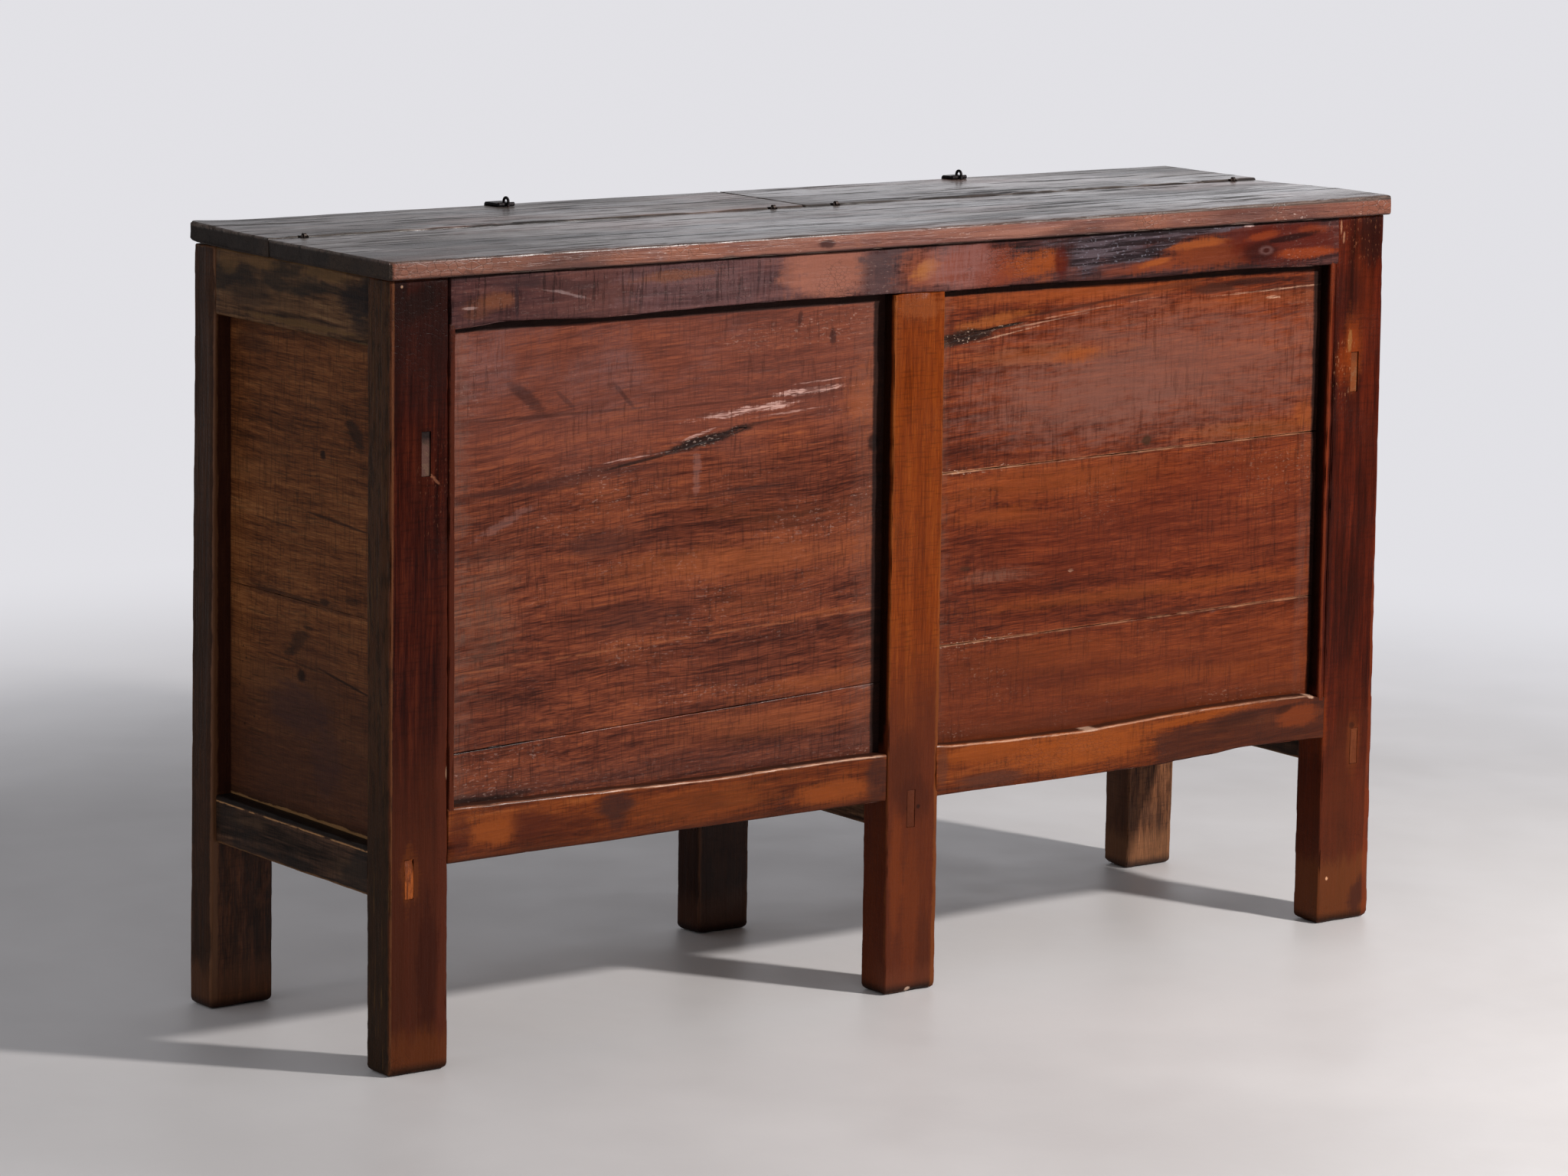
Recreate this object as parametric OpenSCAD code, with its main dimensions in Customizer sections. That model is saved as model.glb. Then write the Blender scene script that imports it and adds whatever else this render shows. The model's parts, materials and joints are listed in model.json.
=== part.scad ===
/* [Overall] */
// Height of the lids' top face above the floor
overall_h = 920; // [860:1:980]
// Width over the corner posts
frame_w = 1466; // [1200:1:1600]
// Depth over the corner posts
frame_d = 420; // [390:1:480]

/* [Posts] */
// Width of a corner post, seen from the long side
post_w = 77; // [70:1:90]
// Depth of every post
post_d = 46; // [44:1:56]
// Width of a middle post
mid_post_w = 74; // [66:1:90]
// Width of the bead along a corner post's inner edge
bead_w = 9; // [6:0.5:12]
// Width and depth of the small groove that sets off a bead
quirk = 1.6; // [1:0.1:2.5]
// Rounding of the worn post edges
arris_r = 2.5; // [1:0.5:4]
// Bevel round the bottom of each foot
foot_bevel = 6; // [3:1:10]

/* [Rails] */
// Height of the front and rear top rails
top_rail_h = 60; // [54:1:75]
// Height of the side top rails
side_top_rail_h = 79; // [70:1:95]
// Thickness of the side top rails
side_top_rail_t = 40; // [36:1:50]
// Height of the front and rear bottom rails
bottom_rail_h = 64; // [54:1:80]
// Underside of the front and rear bottom rails above the floor
bottom_rail_z = 234; // [225:1:240]
// Height of the side and cross bottom rails
low_rail_h = 57; // [50:1:70]
// Underside of the side and cross bottom rails above the floor
low_rail_z = 200; // [185:1:215]
// Thickness of the side and cross bottom rails
low_rail_t = 56; // [54:1:64]
// Width of the cross rail under the two lids
top_cross_w = 60; // [50:1:80]
// Height of the hand-cut waves along the rail edges
wave_h = 5; // [0:0.5:6]

/* [Joinery] */
// Thickness of the tenons
tenon_t = 12; // [10:1:14]
// Length of the blind tenons in the corner posts
tenon_l = 30; // [20:1:32]
// Length of the blind tenons in the middle posts and top rails
short_tenon_l = 20; // [14:1:22]
// Shoulder above and below a blind tenon
shoulder = 5; // [3:1:8]
// Distance of a tenon's outer face from the face of the frame
tenon_set = 5; // [4:1:15]
// Middle of the batten tenons, from the end of the frame
through_x = 45; // [43:1:46]
// Middle of the low side rails' through tenons, from the end of the frame
low_through_x = 25; // [16:1:42]
// Wood left above and below a low through tenon
through_wall = 2; // [1:0.5:4]
// How far the batten tenons stop short of the post faces
batten_tenon_back = 2; // [0:0.5:5]
// Depth of the panel grooves
groove_depth = 8; // [6:1:9]
// Clearance round a tenon and beside a panel
joint_gap = 0.1; // [0.05:0.05:0.3]

/* [Panels] */
// Thickness of the panel boards
panel_t = 10; // [8:0.5:11]
// Depth of the front and rear panels behind the posts
panel_recess = 18; // [16:1:26]
// Depth of the side panels behind the posts
side_recess = 20; // [14:1:24]
// Board joint of the left panels above the floor, at the corner post
left_seam = 356; // [330:1:420]
// Lower board joint of the right panels above the floor, at the middle post
right_seam_low = 412; // [360:1:460]
// Upper board joint of the right panels above the floor, at the middle post
right_seam_high = 620; // [560:1:700]
// Rise of the left panels' joint from its lower to its higher end
left_seam_rise = 23; // [0:1:30]
// Rise of the right panels' joints from their lower to their higher ends
right_seam_rise = 9; // [0:1:20]
// Gap between two boards of a panel
board_gap = 0.6; // [0.3:0.1:0.8]
// Board joint of the side panels above the floor
side_seam = 507; // [420:1:600]
// Underside of the battens behind the side panels
batten_z = 677; // [600:1:720]
// Height of those battens
batten_h = 50; // [40:1:60]
// Thickness of those battens
batten_t = 27; // [26:1:32]
// Thickness of the floor boards
floor_t = 12; // [9:1:16]
// Number of floor boards in each half
floor_boards = 4; // [3:1:6]
// Gap between the floor and the walls round it
floor_gap = 0.5; // [0.2:0.1:2]

/* [Top] */
// Thickness of the fixed front plank
plank_t = 21; // [18:1:26]
// Thickness of the two lids
lid_t = 23; // [19:1:28]
// Depth of the fixed plank
plank_d = 253; // [235:1:265]
// Overhang of the top past the corner posts at each end
end_overhang = 7; // [2:1:20]
// Overhang of the plank past the front faces of the posts
front_overhang = 8; // [2:1:20]
// Overhang of the lids past the rear faces of the posts
rear_overhang = 6; // [2:1:10]
// Gap between plank and lids, and between the two lids
seam_gap = 2; // [1:0.5:4]
// Distance of the joint between the lids from the middle of the chest
lid_split_x = 12; // [-20:1:20]
// Rounding along the long edges of the top
edge_r = 3; // [1:0.5:6]
// Rounding of the top's corners, seen from above
corner_r = 5; // [2:0.5:10]
// Distance of a lid batten's middle from the middle of its lid
lid_batten_x = 220; // [150:1:280]
// Width of a lid batten
lid_batten_w = 26; // [20:1:40]
// Height of a lid batten below its lid
lid_batten_h = 18; // [10:1:24]
// Depth of the dovetail that holds a batten in its lid
dovetail_h = 6; // [4:1:8]
// Space between a batten's ends and the opening's edges
lid_batten_gap = 14; // [12:1:30]
// Diameter of the dowels under the fixed plank
dowel_d = 10; // [8:1:14]
// Length of the dowels inside the plank
dowel_up = 12; // [8:1:15]
// Length of the dowels inside the rails
dowel_down = 25; // [15:1:35]

/* [Lid hinges] */
// Distance of a hinge from the end of its lid
hinge_inset = 46; // [40:1:90]
// Wire diameter of the hinge staples and eyes
hinge_wire = 2.4; // [2:0.1:3.4]
// Outer diameter of a hinge eye
hinge_eye_d = 6; // [5.5:0.5:10]
// Width of a hinge eye along the axis
hinge_eye_w = 3.5; // [3:0.5:8]
// Radial clearance between a hinge eye and its staple
hinge_play = 0.06; // [0.03:0.01:0.09]
// Length of the driven legs of the hinge irons
hinge_leg = 15; // [12:1:20]
// Space round a hinge eye in the notch cut for it
notch_gap = 0.8; // [0.6:0.1:2]

/* [Hasps] */
// Distance of the left hasp's pivot from the lid's rear edge
left_hasp_inset = 27; // [18:1:70]
// Distance of the right hasp's pivot from the lid's rear edge
right_hasp_inset = 18; // [17:1:70]
// Distance of the left hasp from the middle of its lid
left_hasp_shift = 47; // [-40:1:60]
// Width of a hasp strap
strap_w = 22; // [20:1:40]
// Thickness of a hasp strap
strap_t = 3; // [2:0.5:4]
// Length of a strap below the top of the lid
strap_drop = 112; // [104:1:130]
// Solid metal below the slot of a strap
strap_tip = 16; // [12:1:22]
// Diameter of the rolled end that a strap turns on
strap_bar_d = 5; // [4:0.5:6]
// Gap between a strap and the lid under it
strap_gap = 0.5; // [0.3:0.1:1]
// Wire diameter of the staples that hold the hasps
staple_wire = 3.4; // [2.8:0.1:4]
// Height of those staples above the lid
staple_rise = 12.5; // [12:0.5:20]
// Space inside those staples
staple_room = 6.2; // [5.6:0.2:9]
// Wood left below the blind holes of those staples
staple_floor = 3; // [2:0.5:6]
// Wire diameter of the lock staples
lock_wire = 4; // [3:0.5:5]
// Space inside a lock staple, up and down
lock_room = 7; // [6:0.5:9]
// How far a lock staple stands out past a strap's inner face
lock_reach = 12.5; // [10:0.5:13]
// Depth of a lock staple below the top of the lid
lock_drop = 58; // [52:1:64]
// Depth of a lock staple's legs inside the rail
lock_leg = 25; // [15:1:28]
// Room beside a staple in the strap's openings
slot_room = 2; // [1:0.5:4]
// Clearance round driven wire in its hole
wire_gap = 0.05; // [0.02:0.01:0.1]

/* [Hidden] */

$fn = 32;
nudge = 1;

strap_face = rear_overhang + strap_gap;
lock_out = strap_face + lock_reach;
front_y = -(frame_d + lock_out - front_overhang) / 2;
rear_y = front_y + frame_d;
end_x = frame_w / 2;

frame_top = overall_h - lid_t;
plank_top = frame_top + plank_t;
top_rail_z = frame_top - top_rail_h;
side_top_rail_z = frame_top - side_top_rail_h;
bottom_rail_top = bottom_rail_z + bottom_rail_h;
low_rail_top = low_rail_z + low_rail_h;
wide_post_w = post_w + bead_w;
bay_w = end_x - wide_post_w - mid_post_w / 2;
inner_d = frame_d - 2 * post_d;

left_seams = [[left_seam, left_seam + left_seam_rise]];
right_seams = [for (z = [right_seam_low, right_seam_high]) [z + right_seam_rise, z]];

slack = joint_gap;
panel_y = panel_recess;
through_h = low_rail_h - groove_depth - 2 * through_wall;
through_z = low_rail_z + through_wall;
low_tenon_h = bottom_rail_h - groove_depth - 2 * shoulder;
top_tenon_h = top_rail_h - groove_depth - 2 * shoulder;
side_tenon_x = side_recess - tenon_t / 2;
side_tenon_h = side_top_rail_h - groove_depth - 2 * shoulder;
cap_tenon_w = mid_post_w - 6 * shoulder;
cap_tenon_h = short_tenon_l + shoulder;
cross_tenon_w = top_cross_w / 2;
cross_tenon_h = top_rail_h - groove_depth - 3 * shoulder;

seam_y = front_y - front_overhang + plank_d + seam_gap / 2;
lid_rear_y = rear_y + rear_overhang;
lid_d = lid_rear_y - seam_y - seam_gap / 2;
top_end = end_x + end_overhang;
split_low = lid_split_x - seam_gap / 2;
split_high = lid_split_x + seam_gap / 2;
left_lid_mid = (split_low - top_end) / 2;
right_lid_mid = (split_high + top_end) / 2;
lid_batten_y = seam_y + lid_batten_gap;
lid_batten_l = rear_y - post_d - lid_batten_gap - lid_batten_y;
dovetail_flare = 2;

hinge_z = overall_h;
notch_r = hinge_eye_d / 2 + notch_gap;
staple_half = hinge_eye_w / 2 + hinge_wire + notch_gap / 4;
notch_half = staple_half + hinge_wire / 2 + notch_gap;
left_hinges = [-top_end + hinge_inset, split_low - hinge_inset];
right_hinges = [split_high + hinge_inset, top_end - hinge_inset];

left_hasp_x = left_lid_mid + left_hasp_shift;
right_hasp_x = right_lid_mid;
bar_z = overall_h + strap_gap / 2 + strap_bar_d / 2;
staple_leg_y = (staple_room + staple_wire) / 2;
staple_arch_z = overall_h + staple_rise - staple_leg_y - staple_wire / 2;
window_l = overall_h + staple_rise - bar_z + slot_room / 2;
window_w = staple_wire + slot_room;
bend_r = 1.5;
lock_z = overall_h - lock_drop;
lock_leg_z = (lock_room + lock_wire) / 2;
slot_w = lock_wire + 2 * slot_room;
slot_top = lock_z + lock_leg_z + lock_wire / 2 + slot_room / 2;
slot_bottom = overall_h - strap_drop + strap_tip;

dark_red = [0.27, 0.09, 0.06];
orange_brown = [0.52, 0.24, 0.10];
red_brown = [0.42, 0.20, 0.13];
panel_red = [0.47, 0.22, 0.15];
side_brown = [0.27, 0.19, 0.12];
side_dark = [0.16, 0.14, 0.11];
top_grey = [0.42, 0.37, 0.33];
raw_wood = [0.55, 0.43, 0.30];
iron = [0.09, 0.09, 0.09];

// A flat outline with four round corners
module round_rect(w, h, r) {
    translate([r, 0]) square([w - 2 * r, h]);
    translate([0, r]) square([w, h - 2 * r]);
    for (x = [r, w - r], y = [r, h - r]) translate([x, y]) circle(r = r);
}

// A board with worn edges, lying flat
module soft_board(l, d, t, r, plan_r) {
    intersection() {
        linear_extrude(height = t) round_rect(l, d, plan_r);
        translate([0, d, 0]) rotate([90, 0, 0]) linear_extrude(height = d) round_rect(l, t, r);
        rotate([90, 0, 90]) linear_extrude(height = l) round_rect(d, t, r);
    }
}

// A block between two opposite corners
module block(low, high) {
    translate(low) cube(high - low);
}

// The same block, grown on every side by the joint clearance
module mortise(low, high) {
    block([for (v = low) v - slack], [for (v = high) v + slack]);
}

module mirror_if(flip, axis) {
    if (flip) mirror(axis) children();
    else children();
}

// Puts a corner drawn from its outer edges at one of the four corners
module at_corner(right, rear) {
    translate([right ? end_x : -end_x, rear ? rear_y : front_y, 0])
        mirror_if(right, [1, 0, 0]) mirror_if(rear, [0, 1, 0]) children();
}

// Puts a long side drawn from its outer face at the front or the rear
module at_side(rear) {
    translate([0, rear ? rear_y : front_y, 0]) mirror_if(rear, [0, 1, 0]) children();
}

// Cuts the worn bevel round a foot of the given width
module foot_bevels(w) {
    for (side = [0, 1]) {
        translate([side * w, post_d + nudge, 0]) mirror_if(side == 1, [1, 0, 0])
            rotate([90, 0, 0]) linear_extrude(height = post_d + 2 * nudge)
                polygon([[-nudge, -nudge], [foot_bevel / 2 + nudge / 2, -nudge], [-nudge, foot_bevel + 2 * nudge]]);
        translate([-nudge, side * post_d, 0]) mirror_if(side == 1, [0, 1, 0])
            rotate([90, 0, 90]) linear_extrude(height = w + 2 * nudge)
                polygon([[-nudge, -nudge], [foot_bevel / 2 + nudge / 2, -nudge], [-nudge, foot_bevel + 2 * nudge]]);
    }
}

// A corner post, drawn from its outer end and its long face
module corner_post() {
    difference() {
        union() {
            linear_extrude(height = bottom_rail_z) round_rect(post_w, post_d, arris_r);
            translate([0, 0, bottom_rail_z]) linear_extrude(height = frame_top - bottom_rail_z)
                difference() {
                    round_rect(wide_post_w, post_d, arris_r);
                    translate([post_w, -nudge]) square([quirk, quirk + nudge]);
                }
        }
        foot_bevels(post_w);
        mortise([wide_post_w - tenon_l, tenon_set, bottom_rail_z + shoulder],
                [wide_post_w + nudge, tenon_set + tenon_t, bottom_rail_z + shoulder + low_tenon_h]);
        mortise([wide_post_w - tenon_l, tenon_set, frame_top - shoulder - top_tenon_h],
                [wide_post_w + nudge, tenon_set + tenon_t, frame_top - shoulder]);
        mortise([side_tenon_x, post_d - tenon_l, frame_top - shoulder - side_tenon_h],
                [side_tenon_x + tenon_t, post_d + nudge, frame_top - shoulder]);
        mortise([low_through_x - tenon_t / 2, -nudge, through_z],
                [low_through_x + tenon_t / 2, post_d + nudge, through_z + through_h]);
        mortise([through_x - tenon_t / 2, -nudge, batten_z],
                [through_x + tenon_t / 2, post_d + nudge, batten_z + batten_h]);
        mortise([wide_post_w - groove_depth, panel_y, bottom_rail_top - groove_depth],
                [wide_post_w + nudge, panel_y + panel_t, top_rail_z + groove_depth]);
        mortise([side_recess, post_d - groove_depth, low_rail_top - groove_depth],
                [side_recess + panel_t, post_d + nudge, side_top_rail_z + groove_depth]);
    }
}

// A middle post, drawn from its middle and its long face
module middle_post() {
    half = mid_post_w / 2;
    difference() {
        union() {
            translate([-half, 0, 0]) linear_extrude(height = top_rail_z)
                difference() {
                    round_rect(mid_post_w, post_d, arris_r);
                    for (x = [bead_w - quirk, mid_post_w - bead_w])
                        translate([x, -nudge]) square([quirk, quirk + nudge]);
                }
            block([-cap_tenon_w / 2, tenon_set, top_rail_z - nudge],
                  [cap_tenon_w / 2, tenon_set + tenon_t, top_rail_z + cap_tenon_h]);
        }
        translate([-half, 0, 0]) foot_bevels(mid_post_w);
        mortise([-tenon_t / 2, -nudge, through_z], [tenon_t / 2, post_d + nudge, through_z + through_h]);
        mortise([-panel_t / 2, post_d - groove_depth, low_rail_top - groove_depth],
                [panel_t / 2, post_d + nudge, top_rail_z + nudge]);
        for (right = [false, true]) mirror_if(right, [1, 0, 0]) {
            mortise([-half - nudge, tenon_set, bottom_rail_z + shoulder],
                    [-half + short_tenon_l, tenon_set + tenon_t, bottom_rail_z + shoulder + low_tenon_h]);
            mortise([-half - nudge, panel_y, bottom_rail_top - groove_depth],
                    [-half + groove_depth, panel_y + panel_t, top_rail_z + nudge]);
        }
    }
}

// Height of a hand-cut edge over a bay, nil at both ends, peaking late if lean is over 1
function wave(u, waves, lean) = pow(sin(180 * waves * pow(u, lean)), 2);

// Points along a waved edge, from left to right
function edge_points(x0, x1, z, rise, waves, lean) =
    let (steps = 8 * waves)
    [for (i = [0:steps]) [x0 + (x1 - x0) * i / steps, z + rise * wave(i / steps, waves, lean)]];

function reversed(list) = [for (i = [len(list) - 1:-1:0]) list[i]];

// An upright slab of the frame's full thickness, from its outline seen from the long side
module slab(outline) {
    translate([0, post_d, 0]) rotate([90, 0, 0]) linear_extrude(height = post_d) polygon(outline);
}

// The long top rail, over both bays
module long_top_rail() {
    edge = end_x - wide_post_w;
    inner = mid_post_w / 2;
    difference() {
        union() {
            slab(concat(
                edge_points(-edge, -inner, top_rail_z, wave_h, 3, 1),
                edge_points(inner, edge, top_rail_z, wave_h / 2, 2, 1),
                [[edge, frame_top], [-edge, frame_top]]));
            block([-edge - tenon_l, tenon_set, frame_top - shoulder - top_tenon_h],
                  [edge + tenon_l, tenon_set + tenon_t, frame_top - shoulder]);
        }
        mortise([-edge - nudge, panel_y, top_rail_z - 2 * nudge],
                [edge + nudge, panel_y + panel_t, top_rail_z + groove_depth]);
        mortise([-cap_tenon_w / 2, tenon_set, top_rail_z - 2 * nudge],
                [cap_tenon_w / 2, tenon_set + tenon_t, top_rail_z + cap_tenon_h]);
        mortise([-cross_tenon_w / 2, post_d - short_tenon_l, frame_top - shoulder - cross_tenon_h],
                [cross_tenon_w / 2, post_d + nudge, frame_top - shoulder]);
    }
}

// A bottom rail of the left bay, the right one being its mirror image
module bay_bottom_rail(top_rise, bottom_rise, lean) {
    x0 = -end_x + wide_post_w;
    x1 = -mid_post_w / 2;
    difference() {
        union() {
            slab(concat(
                edge_points(x0, x1, bottom_rail_z, bottom_rise, 1, lean),
                reversed(edge_points(x0, x1, bottom_rail_top, top_rise, 1, lean))));
            block([x0 - tenon_l, tenon_set, bottom_rail_z + shoulder],
                  [x1 + short_tenon_l, tenon_set + tenon_t, bottom_rail_z + shoulder + low_tenon_h]);
        }
        mortise([x0 - nudge, panel_y, bottom_rail_top - groove_depth],
                [x1 + nudge, panel_y + panel_t, bottom_rail_top + wave_h + nudge]);
    }
}

// Side top rail of the left end, drawn from its outer face
module end_top_rail() {
    difference() {
        union() {
            block([0, post_d, side_top_rail_z], [side_top_rail_t, frame_d - post_d, frame_top]);
            block([side_tenon_x, post_d - tenon_l, frame_top - shoulder - side_tenon_h],
                  [side_tenon_x + tenon_t, frame_d - post_d + tenon_l, frame_top - shoulder]);
        }
        mortise([side_recess, post_d - nudge, side_top_rail_z - nudge],
                [side_recess + panel_t, frame_d - post_d + nudge, side_top_rail_z + groove_depth]);
        translate([side_top_rail_t / 2, dowel_y, 0]) dowel_hole();
    }
}

// Rail with through tenons, set low, for an end or the middle
module low_rail(x0, x1, tenon_x, groove_x) {
    difference() {
        union() {
            block([x0, post_d, low_rail_z], [x1, frame_d - post_d, low_rail_top]);
            block([tenon_x - tenon_t / 2, 0, through_z],
                  [tenon_x + tenon_t / 2, frame_d, through_z + through_h]);
        }
        mortise([groove_x, post_d - nudge, low_rail_top - groove_depth],
                [groove_x + panel_t, frame_d - post_d + nudge, low_rail_top + nudge]);
    }
}

// Cross rail between the two long top rails, under the joint between the lids
module top_cross_rail() {
    difference() {
        union() {
            block([-top_cross_w / 2, post_d, top_rail_z], [top_cross_w / 2, frame_d - post_d, frame_top]);
            block([-cross_tenon_w / 2, post_d - short_tenon_l, frame_top - shoulder - cross_tenon_h],
                  [cross_tenon_w / 2, frame_d - post_d + short_tenon_l, frame_top - shoulder]);
        }
        mortise([-panel_t / 2, post_d - nudge, top_rail_z - nudge],
                [panel_t / 2, frame_d - post_d + nudge, top_rail_z + groove_depth]);
        translate([0, dowel_y, 0]) dowel_hole();
    }
}

// Panel of a bay, of horizontal boards that meet at slightly sloping joints, given from end to end
module bay_panel(seams) {
    x0 = -end_x + wide_post_w - groove_depth;
    x1 = x0 + bay_w + 2 * groove_depth;
    g = board_gap / 2;
    low = bottom_rail_top - groove_depth - g;
    high = top_rail_z + groove_depth + g;
    ends = concat([[low, low]], seams, [[high, high]]);
    for (i = [0:len(ends) - 2])
        translate([0, panel_y + panel_t, 0]) rotate([90, 0, 0]) linear_extrude(height = panel_t)
            polygon([[x0, ends[i][0] + g], [x1, ends[i][1] + g], [x1, ends[i + 1][1] - g], [x0, ends[i + 1][0] - g]]);
}

// Panel of the left end, of two boards
module end_panel() {
    y0 = post_d - groove_depth;
    y1 = frame_d - y0;
    block([side_recess, y0, low_rail_top - groove_depth],
          [side_recess + panel_t, y1, side_seam - board_gap / 2]);
    block([side_recess, y0, side_seam + board_gap / 2],
          [side_recess + panel_t, y1, side_top_rail_z + groove_depth]);
}

module end_batten() {
    block([side_recess + panel_t, post_d, batten_z],
          [side_recess + panel_t + batten_t, frame_d - post_d, batten_z + batten_h]);
    block([through_x - tenon_t / 2, batten_tenon_back, batten_z],
          [through_x + tenon_t / 2, frame_d - batten_tenon_back, batten_z + batten_h]);
}

// Floor of one half, resting on the end rail and the cross rail
module half_floor() {
    x0 = -end_x + side_recess + panel_t + floor_gap;
    x1 = -panel_t / 2 - floor_gap;
    y0 = post_d + floor_gap;
    board = (inner_d - 2 * floor_gap) / floor_boards;
    for (i = [0:floor_boards - 1])
        block([x0, y0 + i * board, low_rail_top], [x1, y0 + (i + 1) * board, low_rail_top + floor_t]);
}

// Upright wall of three boards between the two halves
module divider() {
    z0 = low_rail_top - groove_depth;
    y0 = post_d - groove_depth;
    l = inner_d + 2 * groove_depth;
    heights = [z0, right_seam_low, right_seam_high, top_rail_z];
    for (i = [0:2])
        block([-panel_t / 2, y0, heights[i]], [panel_t / 2, y0 + l, heights[i + 1]]);
}

dowel_y = (plank_d - front_overhang) * 0.6;
front_dowel_x = [-bay_w * 0.8, -bay_w * 0.3, bay_w * 0.3, bay_w * 0.8];

// Where each dowel stands under the plank, measured from the frame's front
dowel_places = concat(
    [for (x = front_dowel_x) [x, post_d / 2]],
    [for (x = [-end_x + side_top_rail_t / 2, 0, end_x - side_top_rail_t / 2]) [x, dowel_y]]);

module dowel_hole() {
    translate([0, 0, frame_top - dowel_down - joint_gap])
        cylinder(d = dowel_d + 2 * wire_gap, h = dowel_down + dowel_up + 2 * joint_gap);
}

module place_dowels() {
    for (p = dowel_places) translate([p[0], front_y + p[1], 0]) children();
}

// Room cut for the hinge irons at the given places along the seam
module hinge_notches(places) {
    for (x = places) translate([x - notch_half, seam_y, hinge_z])
        rotate([0, 90, 0]) cylinder(r = notch_r, h = 2 * notch_half);
}

// Straight wire from the hinge axis, sloping down and away from the seam
module hinge_shank(toward, length, d) {
    rotate([toward * 135, 0, 0]) cylinder(d = d, h = length);
}

// Staple in the plank that carries one hinge eye
module hinge_staple(d) {
    reach = staple_half - d;
    rotate([135, 0, 0]) {
        translate([-reach, 0, 0]) rotate([0, 90, 0]) cylinder(d = d, h = 2 * reach);
        for (right = [false, true]) mirror_if(right, [1, 0, 0]) {
            translate([-reach, 0, d]) rotate([90, 0, 0]) rotate([0, 0, 180])
                rotate_extrude(angle = 90) translate([d, 0]) circle(d = d);
            translate([-staple_half, 0, d]) cylinder(d = d, h = notch_r + hinge_leg - d);
        }
    }
}

// Eye in the lid that turns on its staple
module hinge_eye() {
    difference() {
        union() {
            translate([-hinge_eye_w / 2, 0, 0]) rotate([0, 90, 0]) cylinder(d = hinge_eye_d, h = hinge_eye_w);
            hinge_shank(-1, notch_r + hinge_leg, hinge_wire);
        }
        translate([-hinge_eye_w, 0, 0]) rotate([0, 90, 0])
            cylinder(d = hinge_wire + 2 * hinge_play, h = 2 * hinge_eye_w);
    }
}

module at_hinges(places) {
    for (x = places) translate([x, seam_y, hinge_z]) children();
}

// Housing or tongue of a lid batten, a dovetail seen from its end
module dovetail(grow) {
    narrow = lid_batten_w / 2 - dovetail_flare + grow;
    wide = lid_batten_w / 2 + grow;
    translate([0, lid_batten_y + lid_batten_l + grow, 0]) rotate([90, 0, 0])
        linear_extrude(height = lid_batten_l + 2 * grow) polygon([
            [-narrow, frame_top - 2 * grow], [narrow, frame_top - 2 * grow],
            [wide, frame_top + dovetail_h + grow], [-wide, frame_top + dovetail_h + grow]]);
}

module lid_batten_pair(lid_mid) {
    for (x = [lid_mid - lid_batten_x, lid_mid + lid_batten_x]) translate([x, 0, 0]) {
        dovetail(0);
        block([-lid_batten_w / 2, lid_batten_y, frame_top - lid_batten_h],
              [lid_batten_w / 2, lid_batten_y + lid_batten_l, frame_top]);
    }
}

// One lid between two ends, with its hasp's holes
module lid(x0, x1, lid_mid, hinges, hasp_x, hasp_inset) {
    difference() {
        translate([x0, seam_y + seam_gap / 2, frame_top]) soft_board(x1 - x0, lid_d, lid_t, edge_r, corner_r);
        hinge_notches(hinges);
        at_hinges(hinges) hinge_shank(-1, notch_r + hinge_leg + wire_gap, hinge_wire + 2 * wire_gap);
        for (x = [lid_mid - lid_batten_x, lid_mid + lid_batten_x]) translate([x, 0, 0]) dovetail(joint_gap);
        for (side = [-1, 1])
            translate([hasp_x, lid_rear_y - hasp_inset + side * staple_leg_y, frame_top + staple_floor - wire_gap])
                cylinder(d = staple_wire + 2 * wire_gap, h = lid_t);
    }
}

// Arched staple that holds a hasp, its legs driven into the lid
module hasp_staple(hasp_x, hasp_inset) {
    leg = staple_arch_z - frame_top - staple_floor;
    translate([hasp_x, lid_rear_y - hasp_inset, staple_arch_z]) {
        rotate([90, 0, 90]) rotate_extrude(angle = 180) translate([staple_leg_y, 0]) circle(d = staple_wire);
        for (side = [-1, 1]) translate([0, side * staple_leg_y, -leg]) cylinder(d = staple_wire, h = leg);
    }
}

// Strap of a hasp, from its rolled end over the lid's edge and down past the lock staple
module hasp_strap(hasp_x, hasp_inset) {
    half = strap_w / 2;
    face = hasp_inset + strap_gap;
    low = overall_h - strap_drop;
    flat_z = bar_z - strap_t / 2;
    tip_r = half / 2;
    translate([hasp_x, lid_rear_y - hasp_inset, 0]) difference() {
        union() {
            translate([-half, 0, bar_z]) rotate([0, 90, 0]) cylinder(d = strap_bar_d, h = strap_w);
            block([-half, 0, flat_z], [half, face - bend_r, flat_z + strap_t]);
            translate([-half, face - bend_r, flat_z - bend_r]) rotate([90, 0, 90])
                linear_extrude(height = strap_w) intersection() {
                    difference() {
                        circle(r = bend_r + strap_t);
                        circle(r = bend_r);
                    }
                    square(bend_r + strap_t);
                }
            block([-half, face, low + tip_r], [half, face + strap_t, flat_z - bend_r]);
            block([-half + tip_r, face, low], [half - tip_r, face + strap_t, low + tip_r]);
            for (x = [-half + tip_r, half - tip_r]) translate([x, face + strap_t, low + tip_r])
                rotate([90, 0, 0]) cylinder(r = tip_r, h = strap_t);
        }
        block([-window_w / 2, strap_bar_d / 2, flat_z - nudge],
              [window_w / 2, window_l, flat_z + strap_t + nudge]);
        block([-slot_w / 2, face - nudge, slot_bottom + slot_w / 2],
              [slot_w / 2, face + strap_t + nudge, slot_top]);
        translate([0, face + strap_t + nudge, slot_bottom + slot_w / 2])
            rotate([90, 0, 0]) cylinder(d = slot_w, h = strap_t + 2 * nudge);
    }
}

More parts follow.
